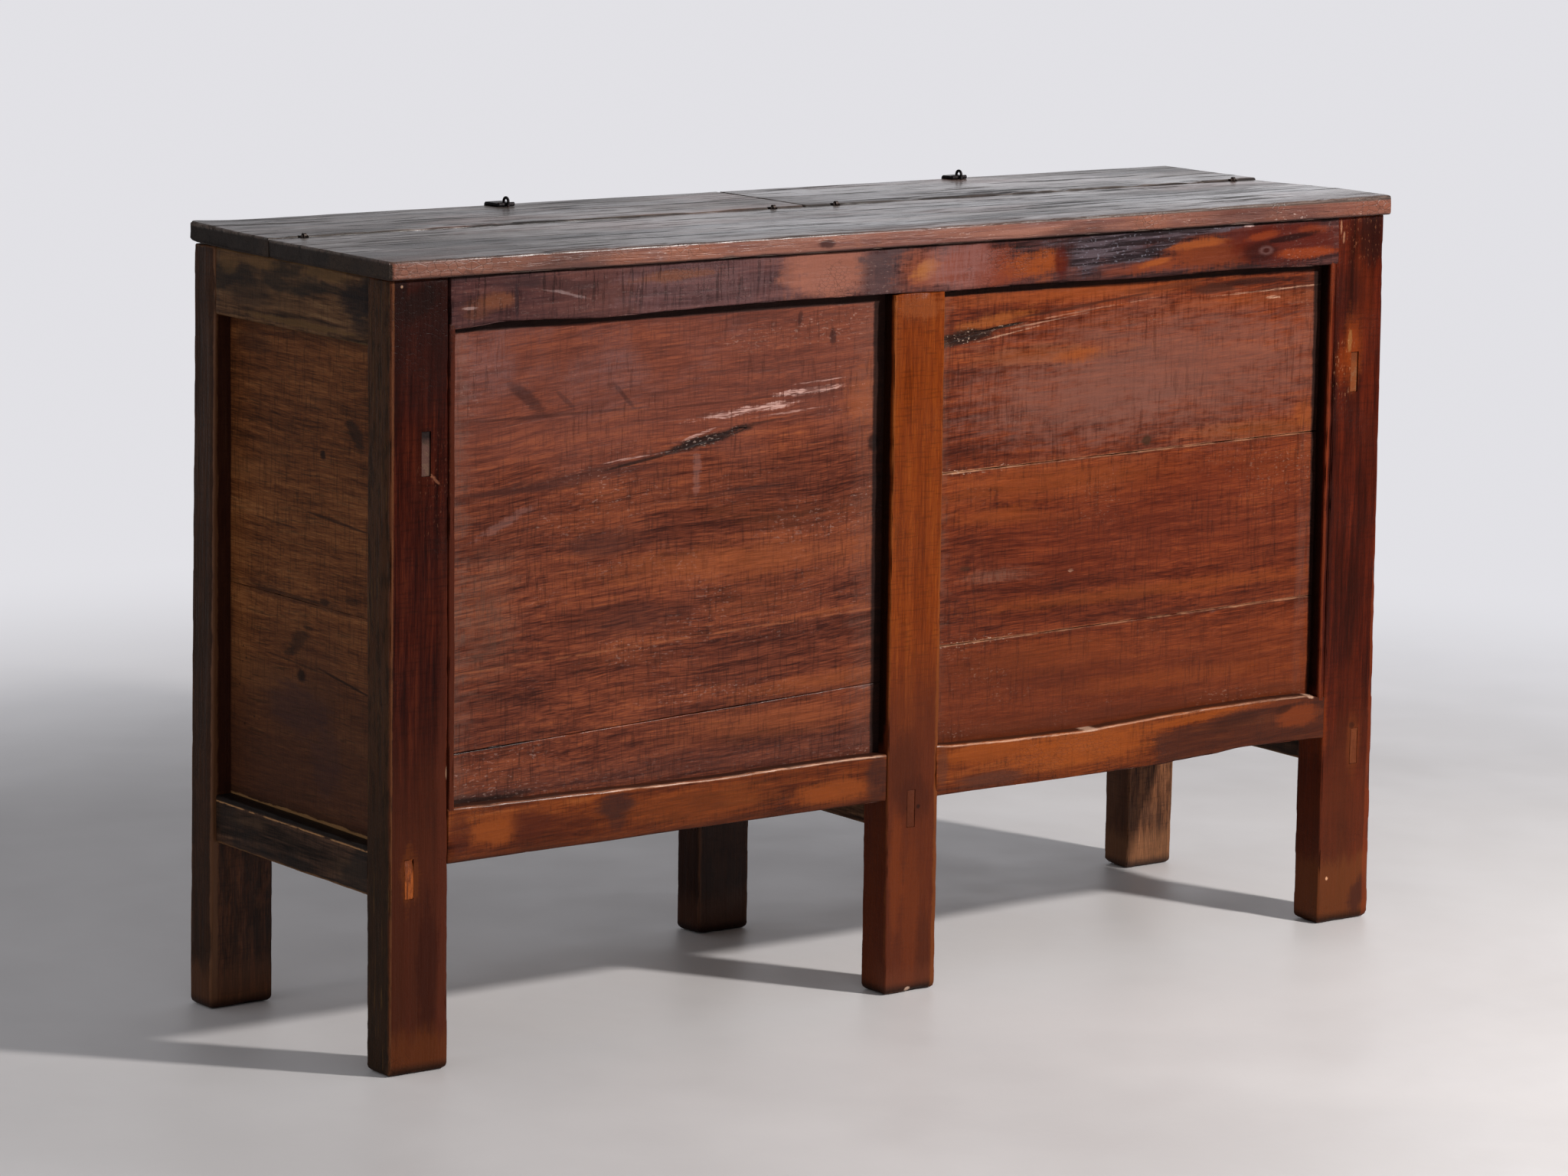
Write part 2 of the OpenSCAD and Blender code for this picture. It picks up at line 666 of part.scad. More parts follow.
// Staple on the rear rail, standing out through the hasp's slot
module lock_staple(hasp_x) {
    reach = lock_out - lock_wire / 2 - lock_leg_z;
    translate([hasp_x, rear_y, lock_z]) {
        translate([0, reach, 0]) rotate([90, 0, 90])
            rotate([0, 0, -90]) rotate_extrude(angle = 180)
                translate([lock_leg_z, 0]) circle(d = lock_wire);
        for (z = [-lock_leg_z, lock_leg_z]) translate([0, -lock_leg, z])
            rotate([-90, 0, 0]) cylinder(d = lock_wire, h = lock_leg + reach);
    }
}

module lock_holes(hasp_x) {
    for (z = [-lock_leg_z, lock_leg_z]) translate([hasp_x, rear_y - lock_leg - wire_gap, lock_z + z])
        rotate([-90, 0, 0]) cylinder(d = lock_wire + 2 * wire_gap, h = lock_leg + nudge);
}

module front_left_post() { color(dark_red) at_corner(false, false) corner_post(); }
module front_right_post() { color(red_brown) at_corner(true, false) corner_post(); }
module rear_left_post() { color(side_brown) at_corner(false, true) corner_post(); }
module rear_right_post() { color(side_brown) at_corner(true, true) corner_post(); }
module front_middle_post() { color(orange_brown) at_side(false) middle_post(); }
module rear_middle_post() { color(orange_brown) at_side(true) middle_post(); }

module front_top_rail() {
    color(red_brown) difference() {
        at_side(false) long_top_rail();
        place_dowels() dowel_hole();
    }
}

module rear_top_rail() {
    color(red_brown) difference() {
        at_side(true) long_top_rail();
        lock_holes(left_hasp_x);
        lock_holes(right_hasp_x);
    }
}

module left_top_rail() { color(side_brown) translate([-end_x, front_y, 0]) end_top_rail(); }
module right_top_rail() {
    color(side_brown) translate([end_x, front_y, 0]) mirror([1, 0, 0]) end_top_rail();
}
module middle_top_rail() { color(raw_wood) translate([0, front_y, 0]) top_cross_rail(); }

module front_left_bottom_rail() {
    color(orange_brown) at_side(false) bay_bottom_rail(-wave_h, -wave_h / 2, 1.3);
}
module front_right_bottom_rail() {
    color(orange_brown) at_side(false) mirror([1, 0, 0]) bay_bottom_rail(wave_h, 2 * wave_h, 0.6);
}
module rear_left_bottom_rail() {
    color(orange_brown) at_side(true) bay_bottom_rail(-wave_h, wave_h / 2, 1);
}
module rear_right_bottom_rail() {
    color(orange_brown) at_side(true) mirror([1, 0, 0]) bay_bottom_rail(-wave_h, wave_h / 2, 1);
}

module left_bottom_rail() {
    color(side_dark) translate([-end_x, front_y, 0]) low_rail(0, low_rail_t, low_through_x, side_recess);
}
module right_bottom_rail() {
    color(side_dark) translate([end_x, front_y, 0]) mirror([1, 0, 0])
        low_rail(0, low_rail_t, low_through_x, side_recess);
}
module middle_bottom_rail() {
    color(raw_wood) translate([0, front_y, 0])
        low_rail(-low_rail_t / 2, low_rail_t / 2, 0, -panel_t / 2);
}

module front_left_panel() {
    color(panel_red) at_side(false) bay_panel(left_seams);
}
module front_right_panel() {
    color(panel_red) at_side(false) mirror([1, 0, 0]) bay_panel(right_seams);
}
module rear_left_panel() {
    color(panel_red) at_side(true) bay_panel(left_seams);
}
module rear_right_panel() {
    color(panel_red) at_side(true) mirror([1, 0, 0]) bay_panel(right_seams);
}
module left_side_panel() { color(side_brown) translate([-end_x, front_y, 0]) end_panel(); }
module right_side_panel() {
    color(side_brown) translate([end_x, front_y, 0]) mirror([1, 0, 0]) end_panel();
}
module left_side_batten() { color(raw_wood) translate([-end_x, front_y, 0]) end_batten(); }
module right_side_batten() {
    color(raw_wood) translate([end_x, front_y, 0]) mirror([1, 0, 0]) end_batten();
}
module partition() { color(raw_wood) translate([0, front_y, 0]) divider(); }
module left_floor_boards() { color(raw_wood) translate([0, front_y, 0]) half_floor(); }
module right_floor_boards() {
    color(raw_wood) translate([0, front_y, 0]) mirror([1, 0, 0]) half_floor();
}

module fixed_top_plank() {
    color(top_grey) difference() {
        translate([-top_end, front_y - front_overhang, frame_top])
            soft_board(2 * top_end, plank_d, plank_t, edge_r, corner_r);
        hinge_notches(concat(left_hinges, right_hinges));
        at_hinges(concat(left_hinges, right_hinges)) for (x = [-staple_half, staple_half])
            translate([x, 0, 0]) hinge_shank(1, notch_r + hinge_leg + wire_gap, hinge_wire + 2 * wire_gap);
        place_dowels() dowel_hole();
    }
}

module plank_dowels() {
    color(raw_wood) place_dowels() translate([0, 0, frame_top - dowel_down])
        cylinder(d = dowel_d, h = dowel_down + dowel_up);
}

module left_lid() {
    color(top_grey) lid(-top_end, split_low, left_lid_mid, left_hinges, left_hasp_x, left_hasp_inset);
}
module right_lid() {
    color(top_grey) lid(split_high, top_end, right_lid_mid, right_hinges, right_hasp_x, right_hasp_inset);
}
module left_lid_battens() { color(raw_wood) lid_batten_pair(left_lid_mid); }
module right_lid_battens() { color(raw_wood) lid_batten_pair(right_lid_mid); }

module left_hinge_staples() { color(iron) at_hinges(left_hinges) hinge_staple(hinge_wire); }
module right_hinge_staples() { color(iron) at_hinges(right_hinges) hinge_staple(hinge_wire); }
module left_hinge_eyes() { color(iron) at_hinges(left_hinges) hinge_eye(); }
module right_hinge_eyes() { color(iron) at_hinges(right_hinges) hinge_eye(); }
module left_hasp() { color(iron) hasp_strap(left_hasp_x, left_hasp_inset); }
module right_hasp() { color(iron) hasp_strap(right_hasp_x, right_hasp_inset); }
module left_hasp_staple() { color(iron) hasp_staple(left_hasp_x, left_hasp_inset); }
module right_hasp_staple() { color(iron) hasp_staple(right_hasp_x, right_hasp_inset); }
module left_lock_staple() { color(iron) lock_staple(left_hasp_x); }
module right_lock_staple() { color(iron) lock_staple(right_hasp_x); }

front_left_post();
front_middle_post();
front_right_post();
rear_left_post();
rear_middle_post();
rear_right_post();
front_top_rail();
rear_top_rail();
left_top_rail();
right_top_rail();
middle_top_rail();
front_left_bottom_rail();
front_right_bottom_rail();
rear_left_bottom_rail();
rear_right_bottom_rail();
left_bottom_rail();
right_bottom_rail();
middle_bottom_rail();
front_left_panel();
front_right_panel();
rear_left_panel();
rear_right_panel();
left_side_panel();
right_side_panel();
left_side_batten();
right_side_batten();
partition();
left_floor_boards();
right_floor_boards();
fixed_top_plank();
plank_dowels();
left_lid();
right_lid();
left_lid_battens();
right_lid_battens();
left_hinge_staples();
right_hinge_staples();
left_hinge_eyes();
right_hinge_eyes();
left_hasp();
right_hasp();
left_hasp_staple();
right_hasp_staple();
left_lock_staple();
right_lock_staple();
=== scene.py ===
import bpy
import bmesh
import json
import math
from mathutils import Matrix, Vector, noise

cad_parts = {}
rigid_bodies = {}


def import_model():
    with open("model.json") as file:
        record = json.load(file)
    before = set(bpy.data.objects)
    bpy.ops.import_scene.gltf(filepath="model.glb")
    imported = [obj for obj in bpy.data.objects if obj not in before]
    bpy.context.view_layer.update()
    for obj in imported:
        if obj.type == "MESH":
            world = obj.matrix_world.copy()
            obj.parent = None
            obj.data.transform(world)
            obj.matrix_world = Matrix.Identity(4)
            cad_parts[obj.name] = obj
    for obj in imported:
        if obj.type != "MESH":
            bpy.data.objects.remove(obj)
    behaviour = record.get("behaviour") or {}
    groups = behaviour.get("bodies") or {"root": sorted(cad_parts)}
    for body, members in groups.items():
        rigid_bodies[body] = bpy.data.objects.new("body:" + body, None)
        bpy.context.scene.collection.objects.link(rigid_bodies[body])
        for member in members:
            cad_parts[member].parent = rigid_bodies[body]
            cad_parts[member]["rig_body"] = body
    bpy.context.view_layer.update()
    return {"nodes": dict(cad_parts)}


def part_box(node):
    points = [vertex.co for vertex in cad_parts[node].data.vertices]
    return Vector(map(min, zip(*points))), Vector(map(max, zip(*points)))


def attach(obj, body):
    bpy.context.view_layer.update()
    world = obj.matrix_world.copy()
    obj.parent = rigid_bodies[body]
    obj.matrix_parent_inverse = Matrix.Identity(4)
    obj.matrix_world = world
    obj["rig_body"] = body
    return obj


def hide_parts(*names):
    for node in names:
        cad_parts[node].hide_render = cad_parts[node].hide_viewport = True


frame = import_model()
nodes = frame["nodes"]


def mm(value):
    """Millimetres to metres."""
    return value * 0.001


# Sizes read from the frame, so that each piece sits where its solid is
LOW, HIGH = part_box("front_left_post")
X0 = LOW.x
FRONT = LOW.y
TOP = HIGH.z
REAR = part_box("rear_left_post")[1].y
POST_D = HIGH.y - LOW.y
WIDE = HIGH.x - LOW.x
BEAD = mm(9)
POST_W = WIDE - BEAD
MID_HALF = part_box("front_middle_post")[1].x
PANEL_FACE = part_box("front_left_panel")[0].y
MIDDLE_Y = (FRONT + REAR) / 2
HALF_DEPTH = (REAR - FRONT) / 2
PLANK_LOW, PLANK_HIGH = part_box("fixed_top_plank")
LID_LOW, LID_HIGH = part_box("left_lid")
SEAM_Y = (PLANK_HIGH.y + LID_LOW.y) / 2


def across(value):
    """A distance from the left end of the posts, in mm, as an x coordinate."""
    return X0 + mm(value)


# Shader maths


def rgb(*display):
    """A display colour from 0 to 255 as a linear one."""
    linear = [c / 255 / 12.92 if c <= 10 else ((c / 255 + 0.055) / 1.055) ** 2.4 for c in display]
    return (*linear, 1.0)


class Value:
    """A socket that can be used in sums."""

    def __init__(self, graph, socket):
        self.graph = graph
        self.socket = socket

    def __add__(self, other):
        return self.graph.math("ADD", self, other)

    def __sub__(self, other):
        return self.graph.math("SUBTRACT", self, other)

    def __rsub__(self, other):
        return self.graph.math("SUBTRACT", other, self)

    def __mul__(self, other):
        return self.graph.math("MULTIPLY", self, other)

    def __truediv__(self, other):
        return self.graph.math("DIVIDE", self, other)

    __radd__ = __add__
    __rmul__ = __mul__


class Graph:
    """One material, built from short expressions in the object's own coordinates."""

    def __init__(self, name):
        self.material = bpy.data.materials.new(name)
        self.material.use_nodes = True
        self.tree = self.material.node_tree
        self.tree.nodes.clear()
        self.at = self.add("ShaderNodeTexCoord").outputs["Object"]
        parts = self.add("ShaderNodeSeparateXYZ", {0: self.at})
        self.x, self.y, self.z = (Value(self, parts.outputs[i]) for i in range(3))

    def add(self, kind, inputs=None, **settings):
        node = self.tree.nodes.new(kind)
        for key, value in settings.items():
            setattr(node, key, value)
        for key, value in (inputs or {}).items():
            self.feed(node.inputs[key], value)
        return node

    def feed(self, socket, value):
        if isinstance(value, Value):
            value = value.socket
        if isinstance(value, bpy.types.NodeSocket):
            self.tree.links.new(value, socket)
        else:
            socket.default_value = value

    def math(self, kind, a, b=0.0, clamp=False):
        node = self.add("ShaderNodeMath", {0: a, 1: b}, operation=kind, use_clamp=clamp)
        return Value(self, node.outputs[0])

    def low(self, a, b):
        return self.math("MINIMUM", a, b)

    def high(self, a, b):
        return self.math("MAXIMUM", a, b)

    def size(self, a):
        return self.math("ABSOLUTE", a)

    def ramp(self, value, start, end, low=0.0, high=1.0):
        """Smooth step from low to high as value goes from start to end."""
        limits = {0: value, 1: start, 2: end, 3: low, 4: high}
        node = self.add("ShaderNodeMapRange", limits, interpolation_type="SMOOTHSTEP")
        return Value(self, node.outputs[0])

    def fall(self, value, start, end, high=1.0):
        """Smooth step from high to 0 as value goes from start to end."""
        return self.ramp(value, start, end, high, 0.0)

    def bend(self, scale, amount):
        """Shifts the coordinates by noise, so that the grain wanders."""
        wander = self.add("ShaderNodeTexNoise", {"Vector": self.at, "Scale": scale, "Detail": 2.0})
        half = (0.5, 0.5, 0.5)
        node = self.add("ShaderNodeVectorMath", {0: wander.outputs["Color"], 1: half}, operation="SUBTRACT")
        node = self.add("ShaderNodeVectorMath", {0: node.outputs[0], 1: amount}, operation="MULTIPLY")
        node = self.add("ShaderNodeVectorMath", {0: node.outputs[0], 1: self.at}, operation="ADD")
        return node.outputs[0]

    def placed(self, scale, seed, at):
        """Coordinates scaled to features per metre along x, y and z."""
        scale = scale if isinstance(scale, tuple) else (scale, scale, scale)
        place = (seed, seed * 1.7, seed * 2.3)
        inputs = {"Vector": at or self.at, "Location": place, "Scale": scale}
        return self.add("ShaderNodeMapping", inputs).outputs[0]

    def noise(self, scale, detail=3.0, rough=0.55, seed=0.0, at=None):
        """Noise from 0 to 1."""
        inputs = {"Vector": self.placed(scale, seed, at), "Scale": 1.0, "Detail": detail, "Roughness": rough}
        return Value(self, self.add("ShaderNodeTexNoise", inputs).outputs["Fac"])

    def cells(self, scale, feature="DISTANCE_TO_EDGE", seed=0.0, at=None):
        """Distance to the edge, or to the middle, of a net of cells."""
        inputs = {"Vector": self.placed(scale, seed, at), "Scale": 1.0}
        return Value(self, self.add("ShaderNodeTexVoronoi", inputs, feature=feature).outputs["Distance"])

    def mix(self, amount, a, b):
        node = self.add("ShaderNodeMix", {0: amount, 6: a, 7: b}, data_type="RGBA")
        return node.outputs[2]

    def edge_gap(self, box):
        """Distance from the nearest edge of a box, for a point on one of its faces."""
        gaps = []
        for value, a, b in zip((self.x, self.y, self.z), *box):
            gaps.append((b - a) / 2 - self.size(value - (a + b) / 2))
        first = self.low(gaps[0], gaps[1])
        second = self.low(self.high(gaps[0], gaps[1]), gaps[2])
        return self.high(first, second)

    def finish(self, colour, rough, height=None, metal=0.0, coat=0.0, coat_rough=0.2, level=0.12):
        inputs = {
            "Base Color": colour,
            "Roughness": rough,
            "Metallic": metal,
            "Coat Weight": coat,
            "Coat Roughness": coat_rough,
            "Specular IOR Level": level,
        }
        shader = self.add("ShaderNodeBsdfPrincipled", inputs)
        if height is not None:
            bump = self.add("ShaderNodeBump", {"Strength": 1.0, "Distance": 1.0, "Height": height})
            self.feed(shader.inputs["Normal"], bump.outputs[0])
        out = self.add("ShaderNodeOutputMaterial")
        self.feed(out.inputs["Surface"], shader.outputs[0])
        return self.material


def grained(grain, along, over):
    """Noise scales for a grain that runs along one axis."""
    return tuple(along if axis == grain else over for axis in "xyz")


# Layers of the grain, from the widest: features per metre along and across it, and detail
LAYERS = ((1.0, 11.0, 3.0), (2.2, 40.0, 4.0), (6.0, 130.0, 4.0), (16.0, 380.0, 3.0), (50.0, 1000.0, 1.0))
# How much each layer counts
STRONG = (0.9, 0.9, 1.0, 0.75, 0.4)
CALM = (0.55, 0.5, 0.65, 0.8, 0.6)


class Wood(Graph):
    """Lacquered wood whose colour, gloss and relief are built up in layers.

    Marks are placed by a distance along the face, from the left end of the posts
    or along y on an end, and by a height, all in mm.
    """

    def __init__(self, name, grain, shades, seed=0.0, wander=0.02, tilt=0.0, face="x",
                 patches=0.3, deep=0.5, weights=STRONG):
        super().__init__(name)
        self.seed = seed
        self.grain = grain
        self.face = face
        self.bent = self.slope(self.bend(2.2, (wander, wander, wander)), tilt)
        layers = [self.drawn(along, over, detail, 0.62, along) for along, over, detail in LAYERS]
        _, bands, self.streak, self.fine, self.fibre = layers
        self.cloud = self.noise(7.0, detail=4.0, rough=0.6, seed=seed + 13)
        self.patch = self.drawn(3.0, 14.0, 4.0, 0.6, 15)
        peel = self.noise(260.0, detail=2.0, rough=0.6, seed=seed + 17)
        self.rag = self.drawn(26.0, 110.0, 5.0, 0.72, 29) - 0.5
        self.cross = self.noise(grained(grain, 330.0, 36.0), detail=2.0, rough=0.6, seed=seed + 19)
        figure = (1.0 - sum(weights)) / 2
        for layer, weight in zip(layers, weights):
            figure = layer * weight + figure
        self.dark = [c * deep for c in shades[0]]
        places = (0.08, 0.30, 0.49, 0.67, 0.92)
        self.colour = self.shade(figure, list(zip(places, (self.dark, *shades))))
        self.tint(self.ramp(self.patch, 0.53, 0.68) * patches * 1.3, shades[3])
        self.tint(self.ramp(self.patch, 0.47, 0.34) * patches, shades[0])
        self.tint(self.ramp(self.fine, 0.57, 0.68) * self.ramp(self.cloud, 0.38, 0.60) * 0.55, self.dark)
        self.tint(self.ramp(self.cross, 0.50, 0.68) * (0.3 if weights is STRONG else 0.4), self.dark)
        self.rough = self.ramp(self.cloud, 0.3, 0.7, 0.26, 0.42) + (self.streak - 0.5) * 0.2
        self.height = (bands - 0.5) * 0.0016 + (self.streak - 0.5) * 0.0007
        self.height = self.height + (self.fine - 0.5) * 0.00024 + (peel - 0.5) * 0.0003
        self.height = self.height + (self.cross - 0.5) * 0.00012

    def drawn(self, along, over, detail, rough, seed):
        """Noise drawn out along the wandering grain."""
        return self.noise(grained(self.grain, along, over), detail, rough, self.seed + seed, self.bent)

    def uneven(self, amount):
        """Height, moved up and down by the clouds."""
        return self.z + (self.cloud - 0.5) * amount

    def slope(self, at, tilt):
        """Leans the grain of a board, by a rise for each metre along it."""
        if not tilt:
            return at
        parts = self.add("ShaderNodeSeparateXYZ", {0: at}).outputs
        along = Value(self, parts["xyz".index(self.grain)])
        rest = [Value(self, part) for part in parts]
        over = 2 if self.grain != "z" else 0
        rest[over] = rest[over] - along * tilt
        return self.add("ShaderNodeCombineXYZ", dict(enumerate(rest))).outputs[0]

    def shade(self, value, stops):
        """Colour that follows a value through (place, colour) stops."""
        node = self.add("ShaderNodeValToRGB", {0: value})
        ramp = node.color_ramp
        ramp.elements[0].position, ramp.elements[1].position = stops[0][0], stops[-1][0]
        for place, _ in stops[1:-1]:
            ramp.elements.new(place)
        for element, (_, colour) in zip(ramp.elements, stops):
            element.color = rgb(*colour)
        return node.outputs[0]

    def tint(self, amount, colour):
        """Lays a colour over the others, by an amount from 0 to 1."""
        self.colour = self.mix(amount, self.colour, rgb(*colour))

    def dull(self, amount, rough):
        """Moves the roughness towards a value, by an amount from 0 to 1."""
        self.rough = self.rough + (rough - self.rough) * amount

    def sink(self, amount, depth):
        self.height = self.height - amount * depth

    def place(self, a):
        """Coordinate along the face, and the one of a point given in mm."""
        return (self.x, across(a)) if self.face == "x" else (self.y, mm(a))

    def mark(self, a, z, w, h, lean=0.0, ragged=0.5, soft=0.35):
        """Mask of a ragged patch round a point, given with its half sizes."""
        along, start = self.place(a)
        along = along - start
        up = self.z - mm(z)
        if lean:
            up = up - along * lean
        along, up = along / mm(w), up / mm(h)
        rim = self.math("SQRT", along * along + up * up)
        if ragged:
            rim = rim + (self.rag + (self.cross - 0.5) * 0.35) * (3.2 * ragged)
        return self.fall(rim, 1.0 - soft, 1.0 + soft)

    def marks(self, colour, rows, through=1.0, **looks):
        """Tints patches with one colour; each row is a mark's place and sizes, its strength and any lean."""
        for a, z, w, h, strength, *lean in rows:
            self.tint(self.mark(a, z, w, h, *lean, **looks) * strength * through, colour)

    def stretch(self, start, end, soft=12.0, wave=0.0):
        """Mask that is 1 between two places along the face."""
        along, first = self.place(start)
        last = self.place(end)[1]
        if wave:
            along = along + self.rag * mm(wave)
        rise = self.ramp(along, first - mm(soft), first + mm(soft))
        return rise * self.fall(along, last - mm(soft), last + mm(soft))

    def glint(self, mask, strength=0.6, colour=(196, 168, 156)):
        """Tiny pale flecks where the lacquer is broken up and catches the light."""
        dots = self.noise(grained(self.grain, 170.0, 420.0), detail=2.0, seed=self.seed + 27)
        dots = self.ramp(dots, 0.60, 0.69) * mask
        self.tint(dots * strength, colour)
        self.dull(dots, 0.2)

    def bloom(self, mask, colour, strength=0.5):
        """Milky lacquer, broken up by brush marks across the grain."""
        mask = mask * self.ramp(self.cross + (self.streak - 0.5) * 0.8, 0.30, 0.62, 0.35, 1.0)
        self.tint(mask * strength, colour)
        self.dull(mask * 0.6, 0.5)

    def checks(self, mask, strength=0.6, depth=0.0002):
        """Short cracks across the grain."""
        lines = self.noise(grained(self.grain, 210.0, 22.0), detail=3.0, seed=self.seed + 41)
        lines = self.ramp(lines, 0.55, 0.64) * mask
        self.tint(lines * strength, self.dark)
        self.sink(lines, depth)

    def worn_edge(self, box, reach, colour, strength):
        """Paler and duller wood along the edges of a box."""
        away = self.edge_gap(box) + self.rag * (2.4 * reach)
        rim = self.fall(away, reach * 0.15, reach) * strength
        self.tint(rim, colour)
        self.dull(rim, 0.5)

    def crackle(self, scale=230.0, amount=0.4, depth=0.00012):
        """Fine cracks in the lacquer, across patches of it."""
        cells = self.cells(grained(self.grain, scale * 0.6, scale), seed=self.seed, at=self.bent)
        lines = self.fall(cells, 0.0, 0.09) * self.ramp(self.cloud, 0.5, 0.62)
        self.tint(lines * amount, self.dark)
        self.sink(lines, depth)

    def done(self, tone=(1.0, 1.0, 1.0), **gloss):
        """Finishes the material, with the colour of the varnish over everything."""
        inputs = {0: 1.0, 6: self.colour, 7: (*tone, 1.0)}
        self.colour = self.add("ShaderNodeMix", inputs, data_type="RGBA", blend_type="MULTIPLY").outputs[2]
        return self.finish(self.colour, self.math("ADD", self.rough, 0.0, clamp=True), self.height, **gloss)


# Mesh building


def wave_of(points):
    """Smooth curve through (distance, height) points, in mm, as a function in metres."""

    def height(x):
        at = (x - X0) / 0.001
        if at <= points[0][0]:
            return mm(points[0][1])
        for (a, p), (b, q) in zip(points, points[1:]):
            if at <= b:
                t = (at - a) / (b - a)
                t = t * t * (3 - 2 * t)
                return mm(p + (q - p) * t)
        return mm(points[-1][1])

    return height


def spread(start, end, step):
    """Evenly spaced places from start to end."""
    count = max(1, round((end - start) / step))
    return [start + (end - start) * i / count for i in range(count + 1)]


def outline(width, height, radius, step):
    """Closed outline of a rectangle with round corners, with a flag of 1 on the corners."""
    points = []
    corners = ((width, 0.0, -90), (width, height, 0), (0.0, height, 90), (0.0, 0.0, 180))
    starts = ((radius, 0.0), (width, radius), (width - radius, height), (0.0, height - radius))
    ends = ((width - radius, 0.0), (width, height - radius), (radius, height), (0.0, radius))
    for (su, sv), (eu, ev), (cu, cv, angle) in zip(starts, ends, corners):
        count = max(1, round((abs(eu - su) + abs(ev - sv)) / step))
        for i in range(count):
            points.append((su + (eu - su) * i / count, sv + (ev - sv) * i / count, 0.0))
        mid_u = min(max(cu, radius), width - radius)
        mid_v = min(max(cv, radius), height - radius)
        for i in range(4):
            turn = math.radians(angle + 30 * i)
            points.append((mid_u + radius * math.cos(turn), mid_v + radius * math.sin(turn), 1.0))
    return points


def closing(place, radius, way):
    """Stations and insets that round the end of a sweep; way is 1 at the start."""
    angles = [math.radians(t) for t in (0, 30, 60)]
    return [(place + way * radius * (1 - math.cos(a)), radius * (1 - math.sin(a))) for a in angles]


def swept(bm, axis, stations, section, end_round=0.0012, start_round=None):
    """Adds a closed form whose section(place, inset) gives points across the axis."""
    layer = bm.verts.layers.float.get("rim") or bm.verts.layers.float.new("rim")
    first, last = stations[0], stations[-1]
    start_round = start_round or end_round
    middle = [s for s in stations if first + start_round * 1.05 < s < last - end_round * 1.05]
    places = closing(first, start_round, 1)
    places += [(s, 0.0) for s in [first + start_round] + middle + [last - end_round]]
    places += closing(last, end_round, -1)[::-1]
    rings = []
    for place, inset in places:
        ring = []
        for u, v, flag in section(place, inset):
            co = {"x": (place, u, v), "y": (u, place, v), "z": (u, v, place)}[axis]
            vert = bm.verts.new(co)
            vert[layer] = 1.0 if inset > 0 else flag
            ring.append(vert)
        rings.append(ring)
    for a, b in zip(rings, rings[1:]):
        for i in range(len(a)):
            j = (i + 1) % len(a)
            bm.faces.new((a[i], a[j], b[j], b[i]))
    bm.faces.new(rings[0][::-1])
    bm.faces.new(rings[-1])


def box_section(u0, u1, v0, v1, radius, step):
    """Section function of a straight board; each limit may depend on the place."""

    def at(limit, place):
        return limit(place) if callable(limit) else limit

    width = at(u1, 0.0) - at(u0, 0.0)
    height = at(v1, 0.0) - at(v0, 0.0)
    base = outline(width, height, radius, step)

    def section(place, inset):
        a, b, c, d = (at(limit, place) for limit in (u0, u1, v0, v1))
        wide, tall = (b - a - 2 * inset) / width, (d - c - 2 * inset) / height
        return [(a + inset + wide * u, c + inset + tall * v, flag) for u, v, flag in base]

    return section


def roughen(bm, seed, wave, dent, warp):
    """Moves the surface in and out by hand-tool amounts, and knocks the edges back."""
    bmesh.ops.recalc_face_normals(bm, faces=bm.faces)
    bm.normal_update()
    layer = bm.verts.layers.float.get("rim")
    shift = Vector((seed * 3.1, seed * 1.3, seed * 2.7))
    for vert in bm.verts:
        p = vert.co + shift
        move = noise.noise(p * 8.0) * wave + noise.noise(p * 27.0) * wave * 0.45
        if vert[layer] > 0.5:
            knock = max(0.0, noise.noise(p * 33.0) - 0.12) + 0.8 * max(0.0, noise.noise(p * 90.0) - 0.25)
            move -= knock * dent
        vert.co += vert.normal * move
        if warp:
            vert.co += warp(vert.co)


def prism(points, y0, y1):
    """Mesh of an outline in x and z, drawn out along y."""
    bm = bmesh.new()
    front = [bm.verts.new((x, y0, z)) for x, z in points]
    back = [bm.verts.new((x, y1, z)) for x, z in points]
    bm.faces.new(front)
    bm.faces.new(back[::-1])
    for i in range(len(points)):
        j = (i + 1) % len(points)
        bm.faces.new((front[j], front[i], back[i], back[j]))
    bmesh.ops.recalc_face_normals(bm, faces=bm.faces)
    mesh = bpy.data.meshes.new("cutter")
    bm.to_mesh(mesh)
    bm.free()
    return mesh


def box_points(x0, x1, z0, z1):
    return [(x0, z0), (x1, z0), (x1, z1), (x0, z1)]


def cut(piece, mesh):
    """Takes a closed mesh out of a piece."""
    cutter = bpy.data.objects.new("cutter", mesh)
    bpy.context.scene.collection.objects.link(cutter)
    tool = piece.modifiers.new("cut", "BOOLEAN")
    tool.operation = "DIFFERENCE"
    tool.solver = "MANIFOLD"
    tool.object = cutter
    bpy.context.view_layer.update()
    shape = bpy.data.meshes.new_from_object(piece.evaluated_get(bpy.context.evaluated_depsgraph_get()))
    piece.modifiers.clear()
    old = piece.data
    piece.data = shape
    bpy.data.meshes.remove(old)
    bpy.data.objects.remove(cutter)
    bpy.data.meshes.remove(mesh)


